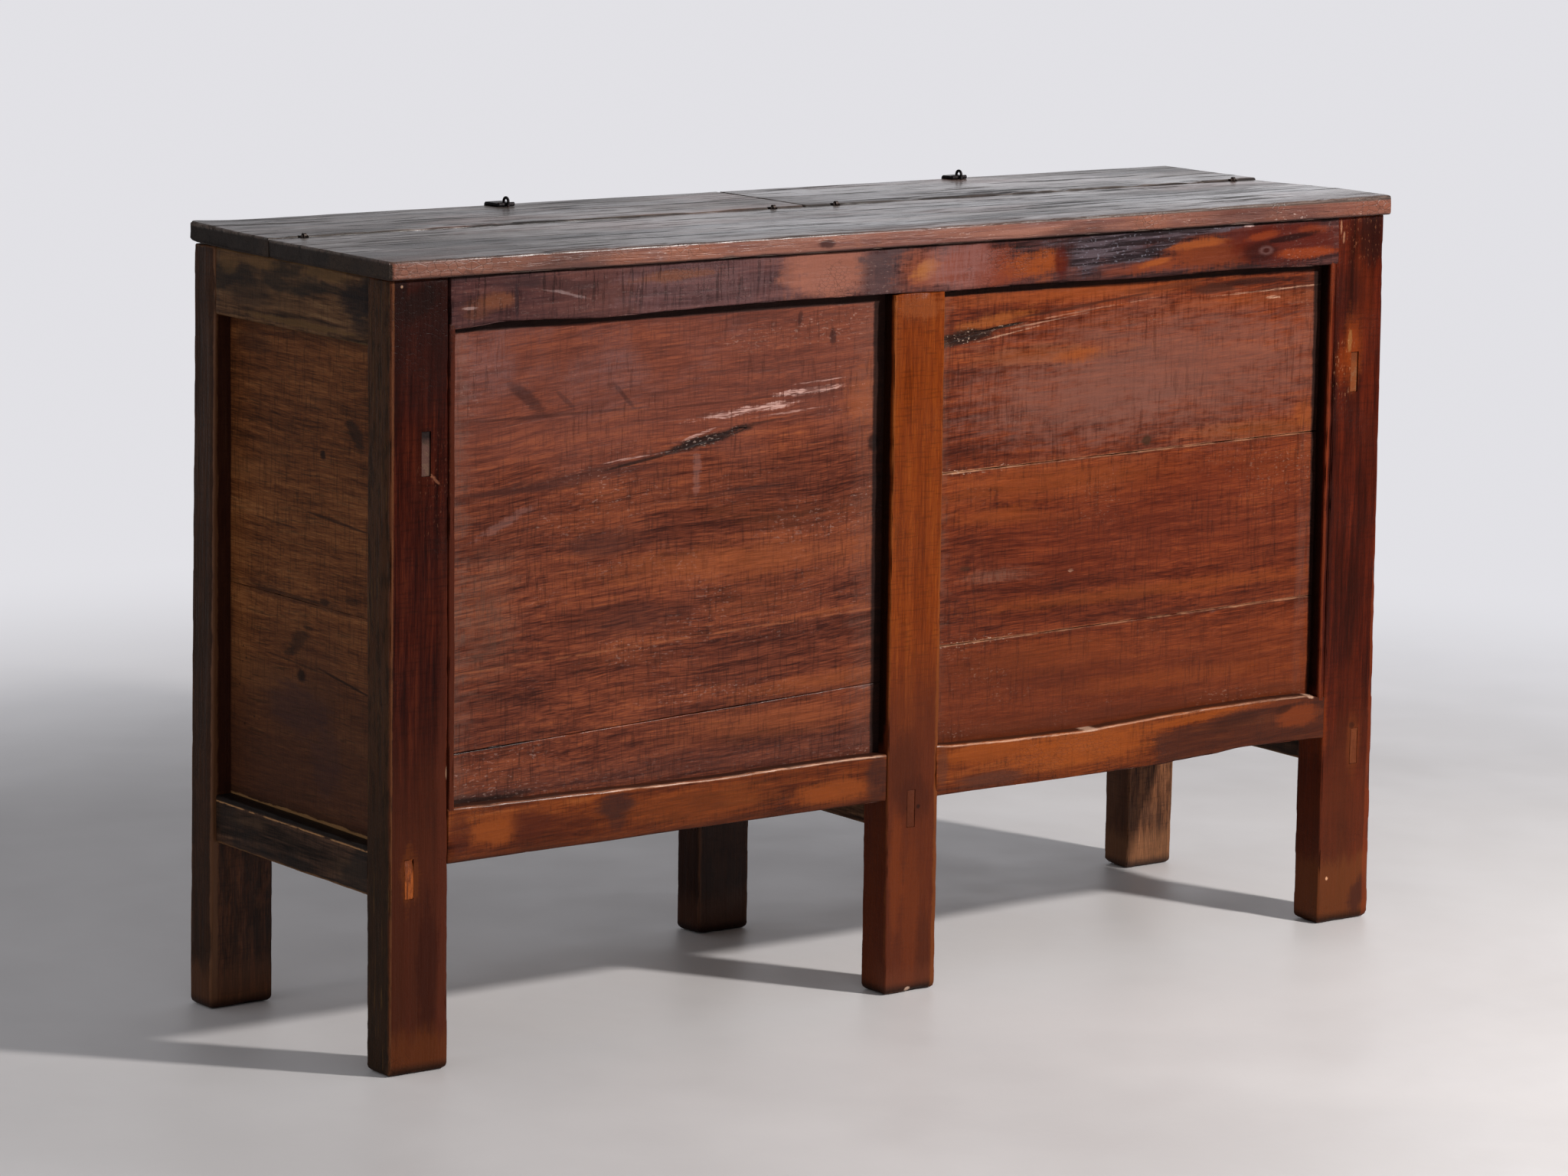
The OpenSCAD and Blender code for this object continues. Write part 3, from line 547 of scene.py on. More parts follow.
def dress(node, slot, material, build, seed, wave=0.0006, dent=0.0035, cuts=(), warp=None):
    """Makes the worn piece that stands for a CAD node, riding on the node's body."""
    bm = bmesh.new()
    build(bm)
    roughen(bm, seed, wave, dent, warp)
    mesh = bpy.data.meshes.new(f"{node}_worn")
    bm.to_mesh(mesh)
    bm.free()
    piece = bpy.data.objects.new(f"{node}_worn", mesh)
    bpy.context.scene.collection.objects.link(piece)
    mesh.materials.append(material)
    for shape in cuts:
        cut(piece, prism(*shape))
    for poly in piece.data.polygons:
        poly.use_smooth = True
    piece.data.set_sharp_from_angle(angle=math.radians(42))
    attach(piece, nodes[node]["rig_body"])
    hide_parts(node)


# Distance between the rings of a swept piece
STEP = mm(11)
# Lower and upper ends of the low cross rails, their tenons and the battens' tenons
LOW_RAIL = (mm(200), mm(257))
LOW_TENON = (mm(202), mm(247))
BATTEN = (mm(677), mm(727))
# Distances of the tenons from the outer side of a corner post
LOW_TENON_AT = mm(25)
BATTEN_AT = mm(45)
TENON_HALF = mm(6)
TENON_SHOWN = mm(15.5)
PLAY = mm(0.25)
PANEL_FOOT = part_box("front_left_bottom_rail")[0].z
PANEL_HEAD = mm(840)
FOOT_ROUND = mm(7)
# Cross rails at the ends of the chest
SIDE_TOP_W = mm(40)
SIDE_TOP_FOOT = mm(819)
SIDE_LOW_W = mm(56)
# Heights of the joints between boards, for the long panels at their left and right ends
JOINTS = {"left": [(0.356, 0.379)], "right": [(0.412, 0.421), (0.620, 0.629)]}
JOINT_HALF = mm(0.3)
SIDE_JOINT = mm(507)
# How far the ends of plank and lids pass the solids at the left and stop short of them at the right
END_PAST = mm(1.5)
END_SHORT = mm(6)
# Line on the plank, as y, in front of which its top is worn
NEAR_FRONT = mm(-205)


def side_of(side, distance):
    """x of a point at a distance inwards from the left or right end."""
    return X0 + distance if side == "left" else -X0 - distance


def row_of(row, distance):
    """y of a point at a distance inwards from the front or rear face."""
    return FRONT + distance if row == "front" else REAR - distance


def span(a, b):
    """Two limits in rising order."""
    return (min(a, b), max(a, b))


def tenon_cut(middle, row, limits):
    """Slot that the end of a through tenon shows in."""
    half = TENON_HALF + PLAY
    points = box_points(middle - half, middle + half, limits[0] - PLAY, limits[1] + PLAY)
    return (points, *span(row_of(row, -mm(4)), row_of(row, TENON_SHOWN + mm(0.5))))


def tenon_end(bm, middle, row, limits):
    """End of a through tenon, just proud of the post's face."""
    half = TENON_HALF - PLAY
    section = box_section(middle - half, middle + half, *limits, 0.0008, 0.01)
    swept(bm, "y", span(row_of(row, -mm(0.2)), row_of(row, TENON_SHOWN)), section, end_round=0.0006)


# Materials and pieces of the carcase

# Four display colours of each wood, from its darkest streaks to its palest
SHADES = {
    "left post": ((30, 7, 4), (44, 12, 7), (60, 20, 11), (84, 36, 20)),
    "middle post": ((94, 38, 8), (110, 47, 10), (124, 57, 13), (142, 72, 20)),
    "right post": ((52, 16, 7), (68, 23, 9), (84, 31, 13), (104, 45, 20)),
    "rear post": ((38, 22, 13), (60, 36, 22), (88, 56, 36), (118, 84, 58)),
    "top rail": ((48, 26, 25), (82, 48, 44), (110, 68, 60), (138, 86, 70)),
    "bottom rail": ((70, 30, 12), (104, 48, 18), (130, 66, 26), (156, 88, 42)),
    "rear rail": ((50, 26, 16), (84, 46, 27), (114, 68, 42), (138, 88, 58)),
    "left panel": ((58, 24, 15), (92, 44, 28), (120, 62, 38), (150, 82, 44)),
    "right panel": ((66, 24, 12), (98, 42, 22), (124, 58, 30), (156, 82, 40)),
    "rear panel": ((52, 28, 19), (84, 48, 32), (116, 72, 48), (142, 94, 64)),
    "side panel": ((62, 34, 18), (90, 52, 28), (112, 70, 40), (136, 92, 58)),
    "side top rail": ((36, 25, 17), (60, 42, 28), (86, 62, 42), (110, 86, 60)),
    "side low rail": ((30, 23, 18), (48, 37, 29), (68, 52, 40), (94, 76, 56)),
    "cross rail": ((62, 42, 30), (98, 70, 50), (126, 94, 68), (150, 116, 86)),
    "top": ((30, 21, 17), (58, 42, 35), (86, 66, 56), (112, 92, 80)),
    "bare": ((86, 64, 45), (124, 96, 70), (148, 118, 88), (168, 138, 106)),
}
# Colour of small pale flecks; those on the rails' upper edges are painted highlights
FLECK = (206, 178, 170)


def foot_dirt(g, colour, height, strength):
    """Paler worn wood above the floor, and dirt at the very bottom."""
    patch = g.fall(g.uneven(0.06) + g.rag * 0.05, height - 0.016, height + 0.012)
    g.tint(patch * strength, colour)
    g.tint(g.fall(g.z, 0.004, 0.016, 0.8), (34, 24, 20))


def post_side_shade(g, face, way=1.0):
    """Painted shade on a post's sides, where it stands out from the panels and no light reaches."""
    deep = g.ramp(g.y, FRONT + 0.0025, FRONT + 0.006)
    beside = g.ramp((g.size(g.x) - face) * way, -0.0012, -0.0002)
    g.tint(deep * beside * g.ramp(g.z, 0.290, 0.310) * 0.94, (18, 8, 6))


def front_left_post():
    """Deep red, nearly black at the top, with an orange foot; its outer side is olive."""
    g = Wood("front_left_post_lacquer", "z", SHADES["left post"], seed=1.0, wander=0.012, patches=0.2)
    g.tint(g.fall(g.uneven(0.3), 0.22, 0.46, 0.68), (80, 41, 28))
    g.tint(g.ramp(g.uneven(0.2), 0.70, 0.88, 0.0, 0.68), (42, 18, 17))
    g.marks((22, 14, 16), [(34, 870, 22, 16, 0.6, 0.4), (10, 880, 8, 30, 0.5)])
    g.marks((92, 46, 34), [(70, 250, 9, 330, 0.35), (81, 500, 7, 420, 0.55)], ragged=0.3)
    g.marks((44, 16, 12), [(50, 120, 14, 80, 0.5)])
    foot_dirt(g, (98, 54, 28), 0.045, 0.65)
    g.marks((112, 62, 28), [(26, 226, 13, 30, 0.4)], ragged=0.8)
    g.marks((134, 92, 80), [(49, 679, 7, 1.6, 0.6, -0.5), (57, 672, 6, 2, 0.6, -0.9)], ragged=0.9)
    g.marks(FLECK, [(12, 889, 1.6, 1.6, 0.6), (76, 340, 1.6, 7, 0.5)], ragged=0.2)
    g.glint(g.mark(60, 665, 22, 60, ragged=0.8), 0.35, (120, 84, 76))
    side = g.fall(g.x, X0 + 0.0008, X0 + 0.0030)
    g.tint(side * g.ramp(g.cloud, 0.3, 0.6, 0.75, 0.95), (74, 54, 44))
    g.tint(side * g.ramp(g.rag, -0.04, 0.10) * 0.7, (40, 33, 30))
    g.tint(side * g.fall(g.z + g.rag * 0.3, 0.22, 0.42, 0.7), (44, 38, 36))
    g.tint(side * g.ramp(g.fine, 0.60, 0.70) * 0.7, (98, 78, 52))
    arris = g.fall(g.size(g.x - X0 - 0.0012) + g.size(g.rag) * 0.008, 0.0006, 0.0022)
    g.tint(arris * g.fall(g.y, FRONT + 0.003, FRONT + 0.006) * 0.55, (118, 82, 58))
    g.worn_edge((LOW, HIGH), 0.0035, (96, 52, 34), 0.5)
    g.crackle(amount=0.3)
    return g.done((0.90, 0.72, 0.50), coat=0.05, level=0.08)


def front_middle_post():
    """Orange brown, and red brown at the foot."""
    g = Wood("front_middle_post_lacquer", "z", SHADES["middle post"], seed=2.0, wander=0.012, patches=0.15,
             deep=0.7, weights=CALM)
    g.tint(g.fall(g.uneven(0.25), 0.30, 0.46, 0.8), (78, 35, 22))
    g.marks((60, 26, 16), [(722, 270, 24, 44, 0.5), (736, 236, 26, 26, 0.55), (755, 40, 12, 60, 0.5)])
    g.marks((30, 14, 10), [(729, 226, 3, 3, 0.9), (744, 226, 3, 2.5, 0.8)], ragged=0.3)
    g.marks((110, 50, 20), [(712, 150, 10, 70, 0.5), (735, 90, 12, 90, 0.3)])
    g.marks((136, 76, 44), [(732, 824, 34, 14, 0.4)], ragged=0.8)
    foot_dirt(g, (96, 50, 34), 0.03, 0.5)
    g.marks(FLECK, [(734, 4, 4, 3, 0.8)], ragged=0.3)
    g.worn_edge(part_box("front_middle_post"), 0.0035, (132, 74, 32), 0.4)
    g.crackle(amount=0.2)
    # Painted shade on the middle post's sides
    post_side_shade(g, MID_HALF - mm(0.5))
    return g.done((1.0, 0.92, 0.74), coat=0.08, level=0.10)


def front_right_post():
    """Red brown, darker at the top and paler at the foot."""
    g = Wood("front_right_post_lacquer", "z", SHADES["right post"], seed=3.0, wander=0.012, patches=0.15,
             deep=0.7)
    g.marks((30, 13, 14), [(1445, 872, 24, 34, 0.8), (1400, 800, 30, 36, 0.35), (1388, 560, 6, 240, 0.4)])
    g.marks((126, 62, 24), [
        (1417, 728, 13, 42, 0.6), (1398, 712, 8, 22, 0.3), (1388, 260, 6, 40, 0.4),
    ], soft=0.6)
    g.marks((126, 100, 70), [(1412, 742, 3, 10, 0.6, 0.4)], ragged=0.8)
    g.marks((100, 56, 26), [(1441, 226, 10, 34, 0.45), (1434, 232, 4, 26, 0.3)], soft=0.6)
    g.marks((28, 14, 10), [(1437, 252, 4, 4, 0.8)], ragged=0.5)
    g.tint(g.fall(g.uneven(0.3), 0.10, 0.30, 0.6), (84, 46, 32))
    foot_dirt(g, (100, 64, 40), 0.085, 0.5)
    g.marks((52, 30, 34), [(1455, 30, 16, 22, 0.7, 0.6)])
    g.marks(FLECK, [(1403, 58, 2, 2, 0.9), (1391, 885, 1.5, 8, 0.3), (1396, 872, 1.5, 7, 0.25)], ragged=0.8)
    g.glint(g.mark(1428, 870, 32, 34, ragged=0.6), 0.25, (150, 110, 96))
    g.glint(g.mark(1402, 705, 20, 40, ragged=0.8), 0.2)
    g.worn_edge(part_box("front_right_post"), 0.0035, (120, 58, 32), 0.45)
    g.crackle(amount=0.25)
    # Painted shade on the right post's inner side
    post_side_shade(g, -X0 - WIDE, -1.0)
    return g.done((1.1, 0.78, 0.48), coat=0.08, level=0.10)


def rear_post(key, seed, tone):
    """Olive brown and dull, with painted shade on the sides that face the other posts and on the front face
    between the rails.
    """
    g = Wood(f"{key}_lacquer", "z", SHADES["rear post"], seed=seed, wander=0.012, deep=0.7, weights=CALM)
    g.tint(g.ramp(g.rag, -0.02, 0.12) * 0.25, (112, 72, 44))
    g.tint(g.ramp(g.noise(9.0, seed=seed + 36), 0.5, 0.68) * 0.3, (44, 32, 26))
    # Painted shade on the sides that face the other posts; on the middle post it covers every face
    inner = g.fall(g.size(g.x) + X0 + POST_W, 0.0010, 0.0030)
    g.tint(inner * 0.75, (46, 28, 20))
    outer = g.ramp(g.size(g.x) + X0, -0.0030, -0.0008)
    g.tint(outer * 0.75, (40, 33, 28))
    # Painted shade on the front face, between the low and top rails
    front_face_shade = g.fall(g.y - REAR + POST_D, 0.0015, 0.0050)
    front_face_shade = front_face_shade * g.ramp(g.z, 0.256, 0.262) * g.fall(g.z, 0.815, 0.822)
    g.tint(front_face_shade * 0.85, (44, 25, 20))
    g.worn_edge(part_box(key), 0.004, (120, 88, 62), 0.5)
    foot_dirt(g, (96, 66, 44), 0.05, 0.4)
    return g.done(tone, coat=0.03, coat_rough=0.3)


# A front post's own function, or the seed and tone of a rear post, and the slot
POST_LOOKS = {
    "front_left_post": (front_left_post, "dark_red_lacquer"),
    "front_middle_post": (front_middle_post, "orange_brown_lacquer"),
    "front_right_post": (front_right_post, "red_brown_lacquer"),
    "rear_left_post": ((4.0, (1.2, 0.97, 0.86)), "olive_brown_lacquer"),
    # The rear middle post's tone darkens it as painted shade, and the rear right post's tone lightens it as
    # painted light
    "rear_middle_post": ((5.0, (0.75, 0.6, 0.62)), "orange_brown_lacquer"),
    "rear_right_post": ((6.0, (2.2, 2.1, 2.1)), "olive_brown_lacquer"),
}


def corner_post(side, row):
    """Core and bead of one corner post; the bead runs between the long rails."""
    y0, y1 = span(row_of(row, 0), row_of(row, POST_D))
    u0, u1 = span(side_of(side, 0), side_of(side, POST_W))
    b0, b1 = span(side_of(side, POST_W + mm(0.3)), side_of(side, WIDE))

    def build(bm):
        core = box_section(u0, u1, y0, y1, 0.0026, 0.009)
        swept(bm, "z", [0.0] + spread(0.01, TOP, STEP), core, end_round=0.002, start_round=FOOT_ROUND)
        bead = box_section(b0, b1, y0, y1, 0.0018, 0.009)
        swept(bm, "z", spread(PANEL_FOOT + mm(56), TOP_EDGE(0.0) + mm(3), STEP), bead)

    return build


def middle_post(row):
    y0, y1 = span(row_of(row, 0), row_of(row, POST_D))
    half = MID_HALF + mm(1)
    top = TOP_EDGE(0.0)

    def build(bm):
        section = box_section(-half, half, y0, y1, 0.0020, 0.009)
        swept(bm, "z", [0.0] + spread(0.01, top, STEP), section, start_round=FOOT_ROUND)

    return build


def lean(head, foot, outer=None):
    """Moves a post sideways, by one amount at its head and another at its foot, in mm.

    The outer side of a corner post may move by an amount of its own at the foot.
    """

    def warp(co):
        share = min(1.0, max(0.0, (abs(co.x) + X0 + POST_W) / POST_W))
        low = foot if outer is None else foot + (outer - foot) * share
        return Vector((mm(low + (head - low) * co.z / TOP), 0.0, 0.0))

    return warp


# Measured on the photo; the other two posts stand upright
LEANS = {
    "front_left_post": lean(-4.0, 1.0, -1.0),
    "front_middle_post": lean(-2.0, 4.0),
    "front_right_post": lean(-4.0, 0.0, 9.0),
    "rear_left_post": lean(-1.0, 0.0, -8.0),
}


def make_posts():
    for i, (node, (look, slot)) in enumerate(POST_LOOKS.items()):
        row, side = node.split("_")[:2]
        if side == "middle":
            build = middle_post(row)
            tenons = [(0.0, LOW_TENON)]
        else:
            build = corner_post(side, row)
            tenons = [(side_of(side, LOW_TENON_AT), LOW_TENON), (side_of(side, BATTEN_AT), BATTEN)]
        cuts = [tenon_cut(middle, row, limits) for middle, limits in tenons]
        material = rear_post(node, *look) if row == "rear" else look()
        dress(node, slot, material, build, 2.3 + i * 3.1, cuts=cuts, warp=LEANS.get(node))


# Edges of the long rails: the top rail's lower one, and both of each bottom rail
TOP_EDGE = wave_of([
    (86, 837.5), (110, 839), (150, 842.5), (200, 842), (250, 839.5), (280, 838.5), (320, 839), (371, 840.5),
    (460, 842), (560, 842.5), (673, 842), (734, 841), (774, 840), (900, 841.5), (1065, 839), (1220, 840.5),
    (1380, 838.5),
])
LEFT_TOP = wave_of([
    (86, 299), (150, 298), (215, 297), (300, 295.5), (379, 294), (450, 293), (547, 294.5), (650, 295),
    (697, 294),
])
LEFT_LOW = wave_of([(86, 236), (260, 236.5), (480, 237), (697, 237.5)])
RIGHT_TOP = wave_of([
    (771, 297), (800, 294.5), (900, 292), (1010, 291), (1060, 293.5), (1120, 296), (1200, 298), (1300, 299),
    (1350, 298), (1388, 294),
])
RIGHT_LOW = wave_of([
    (777, 235), (1130, 235), (1147, 237), (1200, 239), (1256, 242.5), (1320, 241), (1392, 240),
])


def front_top_rail():
    """Purple grey crackled lacquer at the left, orange patches, a burn and a knot further right."""
    g = Wood("front_top_rail_lacquer", "x", SHADES["top rail"], seed=11.0, wander=0.03, tilt=0.02,
             patches=0.35)
    left = g.stretch(40, 520, 30, 200)
    g.tint(left * 0.45, (82, 54, 54))
    g.bloom(g.stretch(300, 640, 50, 300), (138, 104, 104), 0.30)
    g.marks((128, 78, 52), [(138, 867, 26, 9, 0.7), (375, 881, 50, 6, 0.7, 0.03), (112, 860, 20, 12, 0.4)])
    g.marks((168, 108, 86), [(600, 872, 60, 30, 0.75), (545, 876, 20, 24, 0.45, 0.3)])
    g.marks((54, 38, 40), [
        (165, 886, 40, 9, 0.5), (215, 880, 50, 8, 0.45, -0.1), (163, 868, 3, 20, 0.8, -2.0),
    ])
    # Thin pale strokes painted as highlights on the lacquer
    g.marks((158, 134, 130), [(235, 868, 22, 1.8, 0.55, -0.25), (205, 874, 18, 1.2, 0.35, -0.2)], ragged=1.1)
    g.marks((84, 66, 66), [(672, 866, 30, 28, 0.75), (690, 884, 34, 12, 0.6)], ragged=0.8)
    g.marks((150, 82, 56), [(735, 868, 34, 20, 0.7)], ragged=1.0, soft=0.6)
    g.marks((190, 124, 60), [(737, 868, 17, 8, 0.5, 0.2)], ragged=1.3, soft=0.7)
    g.marks((134, 62, 38), [(820, 868, 60, 26, 0.7), (868, 860, 40, 18, 0.5)])
    g.bloom(g.mark(790, 872, 50, 30), (160, 118, 112), 0.4)
    g.marks((150, 72, 24), [(900, 866, 36, 12, 0.7), (922, 862, 24, 14, 0.6, 0.2)], ragged=1.1, soft=0.6)
    g.marks((80, 20, 8), [(944, 866, 10, 18, 0.8)])
    g.marks((124, 58, 30), [
        (1170, 864, 66, 20, 0.75), (1100, 856, 46, 8, 0.75, 0.1), (1060, 850, 50, 5, 0.5, 0.05),
    ], ragged=0.9, soft=0.5)
    g.marks((160, 84, 34), [(1160, 876, 50, 5, 0.6, 0.06), (1092, 857, 24, 4, 0.7, 0.15)])
    g.marks((84, 26, 13), [(1300, 870, 84, 24, 0.85), (1240, 884, 46, 12, 0.6)])
    g.marks((140, 60, 24), [(1330, 856, 44, 7, 0.8), (1262, 880, 26, 5, 0.6, 0.1), (1345, 884, 26, 5, 0.4)])
    g.marks((34, 12, 10), [(1310, 876, 42, 4, 0.85, 0.1), (1260, 862, 26, 12, 0.6)])
    burn = g.mark(984, 872, 26, 26, ragged=0.7)
    for row in (
        (1040, 889, 100, 8), (1150, 893, 80, 6, 0.02), (1050, 867, 50, 8, 0.03), (1095, 875, 40, 5, 0.25),
        (1010, 878, 54, 13),
    ):
        burn = g.high(burn, g.mark(*row, ragged=0.6))
    g.tint(burn * 0.9, (38, 30, 33))
    # Painted sheen: paler streaks across the burn
    g.tint(burn * g.ramp(g.fine + g.streak, 0.94, 1.16) * 0.6, (104, 92, 98))
    g.dull(burn, 0.34)
    g.glint(burn, 0.4, (150, 150, 160))
    knot = g.mark(1268, 862, 11, 6, ragged=0.3)
    ring = knot * (1.0 - g.mark(1268, 862, 6, 3, ragged=0.3))
    g.tint(ring * 0.3, (140, 106, 100))
    g.checks(left * g.ramp(g.z + g.rag * 0.1, 0.842, 0.87, 0.5, 1.0), 0.5, 0.0002)
    g.glint(g.high(left * 0.5, g.mark(672, 862, 34, 26)), 0.2)
    g.glint(g.stretch(1180, 1400, 30) * g.ramp(g.cloud, 0.45, 0.6), 0.25)
    # Pale flecks; the one on the upper edge is a painted highlight
    g.marks(FLECK, [(1240, 894, 9, 2, 0.9), (101, 860, 8, 2, 0.4)], ragged=0.6)
    g.worn_edge(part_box("front_top_rail"), 0.003, (150, 100, 84), 0.3)
    g.crackle(scale=240.0, amount=0.5, depth=0.00016)
    face = g.ramp(g.z, 0.843, 0.847) * g.fall(g.z, 0.8915, 0.8945)
    # Painted shadow of the plank, a dark band along the top of the rail
    g.tint(g.ramp(g.z, 0.8935, 0.8955) * 0.85, (26, 16, 14))
    g.dull(1.0 - face, 0.7)
    return g.done((0.76, 0.71, 0.72), coat=face * 0.11)


def arris_highlight(g, edge, rows, strength=0.75):
    """Painted highlight along the upper front edge of a rail, where its lacquer shines, and a darker top face
    behind it.

    The edge's height goes into a curve node, whose values run from 0 to 1.
    """
    start, length = 80, 1320
    base, height = 0.28, 0.03
    node = g.add("ShaderNodeFloatCurve", {0: 1.0, 1: (g.x - across(start)) / mm(length)})
    curve = node.mapping.curves[0]
    places = range(start, start + length, 40)
    points = [((a - start) / length, (edge(across(a)) - base) / height) for a in places]
    curve.points[0].location = points[0]
    curve.points[1].location = (1.0, points[-1][1])
    for place, level in points[1:-1]:
        curve.points.new(place, level)
    node.mapping.update()
    line = Value(g, node.outputs[0]) * height + base
    near = g.fall(g.size(g.z - line + 0.0014) + g.size(g.rag) * 0.005, 0.0005, 0.0019)
    near = near * g.fall(g.y, FRONT + 0.004, FRONT + 0.009) * g.ramp(g.fine + g.fibre, 0.80, 1.10, 0.35, 1.0)
    total = 0.0
    for first, last, level in rows:
        total = g.stretch(first, last, 30, 120) * level + total
    # Painted highlight along the rounded upper edge
    g.tint(near * total * strength, (224, 186, 172))
    ledge = g.ramp(g.z - line, -0.0022, -0.0006) * g.ramp(g.y, FRONT + 0.002, FRONT + 0.006)
    g.tint(ledge * 0.8, (50, 26, 18))
    g.dull(ledge, 0.6)


def front_bottom_rail(side, seed):
    """Orange brown with dark patches; the right one is dark below a line that rises to the right."""
    g = Wood(f"front_{side}_bottom_rail_lacquer", "x", SHADES["bottom rail"], seed=seed, wander=0.03,
             tilt=0.03)
    if side == "left":
        g.marks((150, 80, 32), [(138, 268, 34, 16, 0.8), (420, 266, 110, 20, 0.35), (620, 258, 60, 14, 0.7)])
        g.marks((84, 36, 20), [(190, 268, 26, 18, 0.7), (92, 270, 14, 24, 0.6), (245, 262, 30, 14, 0.4)])
        g.marks((60, 36, 34), [(305, 277, 24, 14, 0.8), (308, 258, 12, 10, 0.5), (682, 268, 16, 30, 0.7)])
        g.tint(g.fall(g.z + g.rag * 0.02, 0.238, 0.250, 0.5), (84, 44, 26))
        arris_highlight(g, LEFT_TOP, ((100, 290, 0.45), (290, 700, 1.0)))
    else:
        g.marks((156, 82, 28), [
            (860, 280, 90, 12, 0.6), (1000, 268, 110, 20, 0.6), (1180, 288, 90, 5, 0.6, 0.06),
        ])
        g.marks((92, 56, 46), [(850, 247, 50, 9, 0.75), (780, 270, 8, 26, 0.6)])
        low = g.fall(g.z - 0.272 - (g.x - across(1110)) * 0.13 + g.rag * 0.03, -0.004, 0.004)
        g.tint(low * g.stretch(1112, 1500, 10, 60) * 0.75, (66, 36, 30))
        g.marks((124, 60, 28), [(1345, 274, 34, 14, 0.75), (1300, 292, 60, 4, 0.4)])
        g.marks((44, 24, 20), [(1322, 284, 14, 5, 0.7, 0.2), (1240, 276, 40, 8, 0.4, 0.1)])
        arris_highlight(g, RIGHT_TOP, ((770, 1060, 1.0), (1060, 1400, 0.55)))
        # Pale flecks on the upper edge, painted as highlights
        g.marks(FLECK, [(1010, 291, 10, 2, 0.9), (1368, 296, 6, 2.6, 0.9)], ragged=0.5)
    g.worn_edge(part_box(f"front_{side}_bottom_rail"), 0.003, (150, 92, 56), 0.3)
    g.crackle(scale=240.0, amount=0.3)
    return g.done((0.80, 0.66, 0.50), coat=0.11)


def rear_rail():
    g = Wood("rear_rail_lacquer", "x", SHADES["rear rail"], seed=15.0, wander=0.03, deep=0.7, weights=CALM)
    g.tint(g.ramp(g.noise(6.0, seed=52.0), 0.5, 0.68) * 0.5, (44, 30, 24))
    g.checks(g.ramp(g.cloud, 0.45, 0.6), 0.6)
    g.crackle(scale=240.0, amount=0.3)
    return g.done(coat=0.08, coat_rough=0.22)


def make_long_rails():
    inner = X0 + POST_W - mm(1)
    rear = rear_rail()
    for row in ("front", "rear"):
        y0, y1 = span(row_of(row, 0.0), row_of(row, POST_D))

        def rail(a, b, low, high, y0=y0, y1=y1):
            section = box_section(y0, y1, low, high, 0.0024, 0.009)
            return lambda bm: swept(bm, "x", spread(a, b, STEP), section)

        look = front_top_rail() if row == "front" else rear
        seed = 7.7 if row == "front" else 8.8
        dress(f"{row}_top_rail", "red_brown_lacquer", look, rail(inner, -inner, TOP_EDGE, TOP + mm(1)), seed)
        for i, (side, a, b, low, high) in enumerate((
            ("left", inner, -MID_HALF, LEFT_LOW, LEFT_TOP),
            ("right", MID_HALF, -inner, RIGHT_LOW, RIGHT_TOP),
        )):
            look = front_bottom_rail(side, 12.0 + i) if row == "front" else rear
            seed = 9.1 + i * 2.3 + len(row)
            dress(f"{row}_{side}_bottom_rail", "orange_brown_lacquer", look, rail(a, b, low, high), seed)


def wedge(points, depth=0.0025):
    """Cutter for a crack in a front panel, from its outline in mm."""
    return ([(across(x), mm(z)) for x, z in points], PANEL_FACE - 0.004, PANEL_FACE + depth)


LEFT_CRACK = wedge([(377, 673), (399, 676), (422, 681), (443, 685), (464, 687), (482, 692), (497, 697),
                    (480, 698), (466, 694), (446, 691), (428, 689), (408, 683), (393, 679)])
RIGHT_CRACK = wedge([(770, 774), (792, 776), (816, 780), (840, 784), (863, 788), (894, 792),
                     (896, 794), (873, 791), (851, 789), (828, 788), (805, 785), (782, 781), (770, 780)])


def panel_edge_shadow(g, start, slope):
    """Painted shadow along the right end and the top of a panel, cast by the post and the rail beside them.
    """
    off = g.x - across(start) - (PANEL_HEAD - g.z) * slope + g.rag * 0.004
    near_top = g.ramp(g.z + g.rag * 0.002, PANEL_HEAD - mm(10), PANEL_HEAD - mm(7.5))
    corner = g.high(g.ramp(off, -0.0020, 0.0016), near_top)
    g.tint(corner * 0.9, (20, 11, 9))
    g.dull(corner, 0.8)


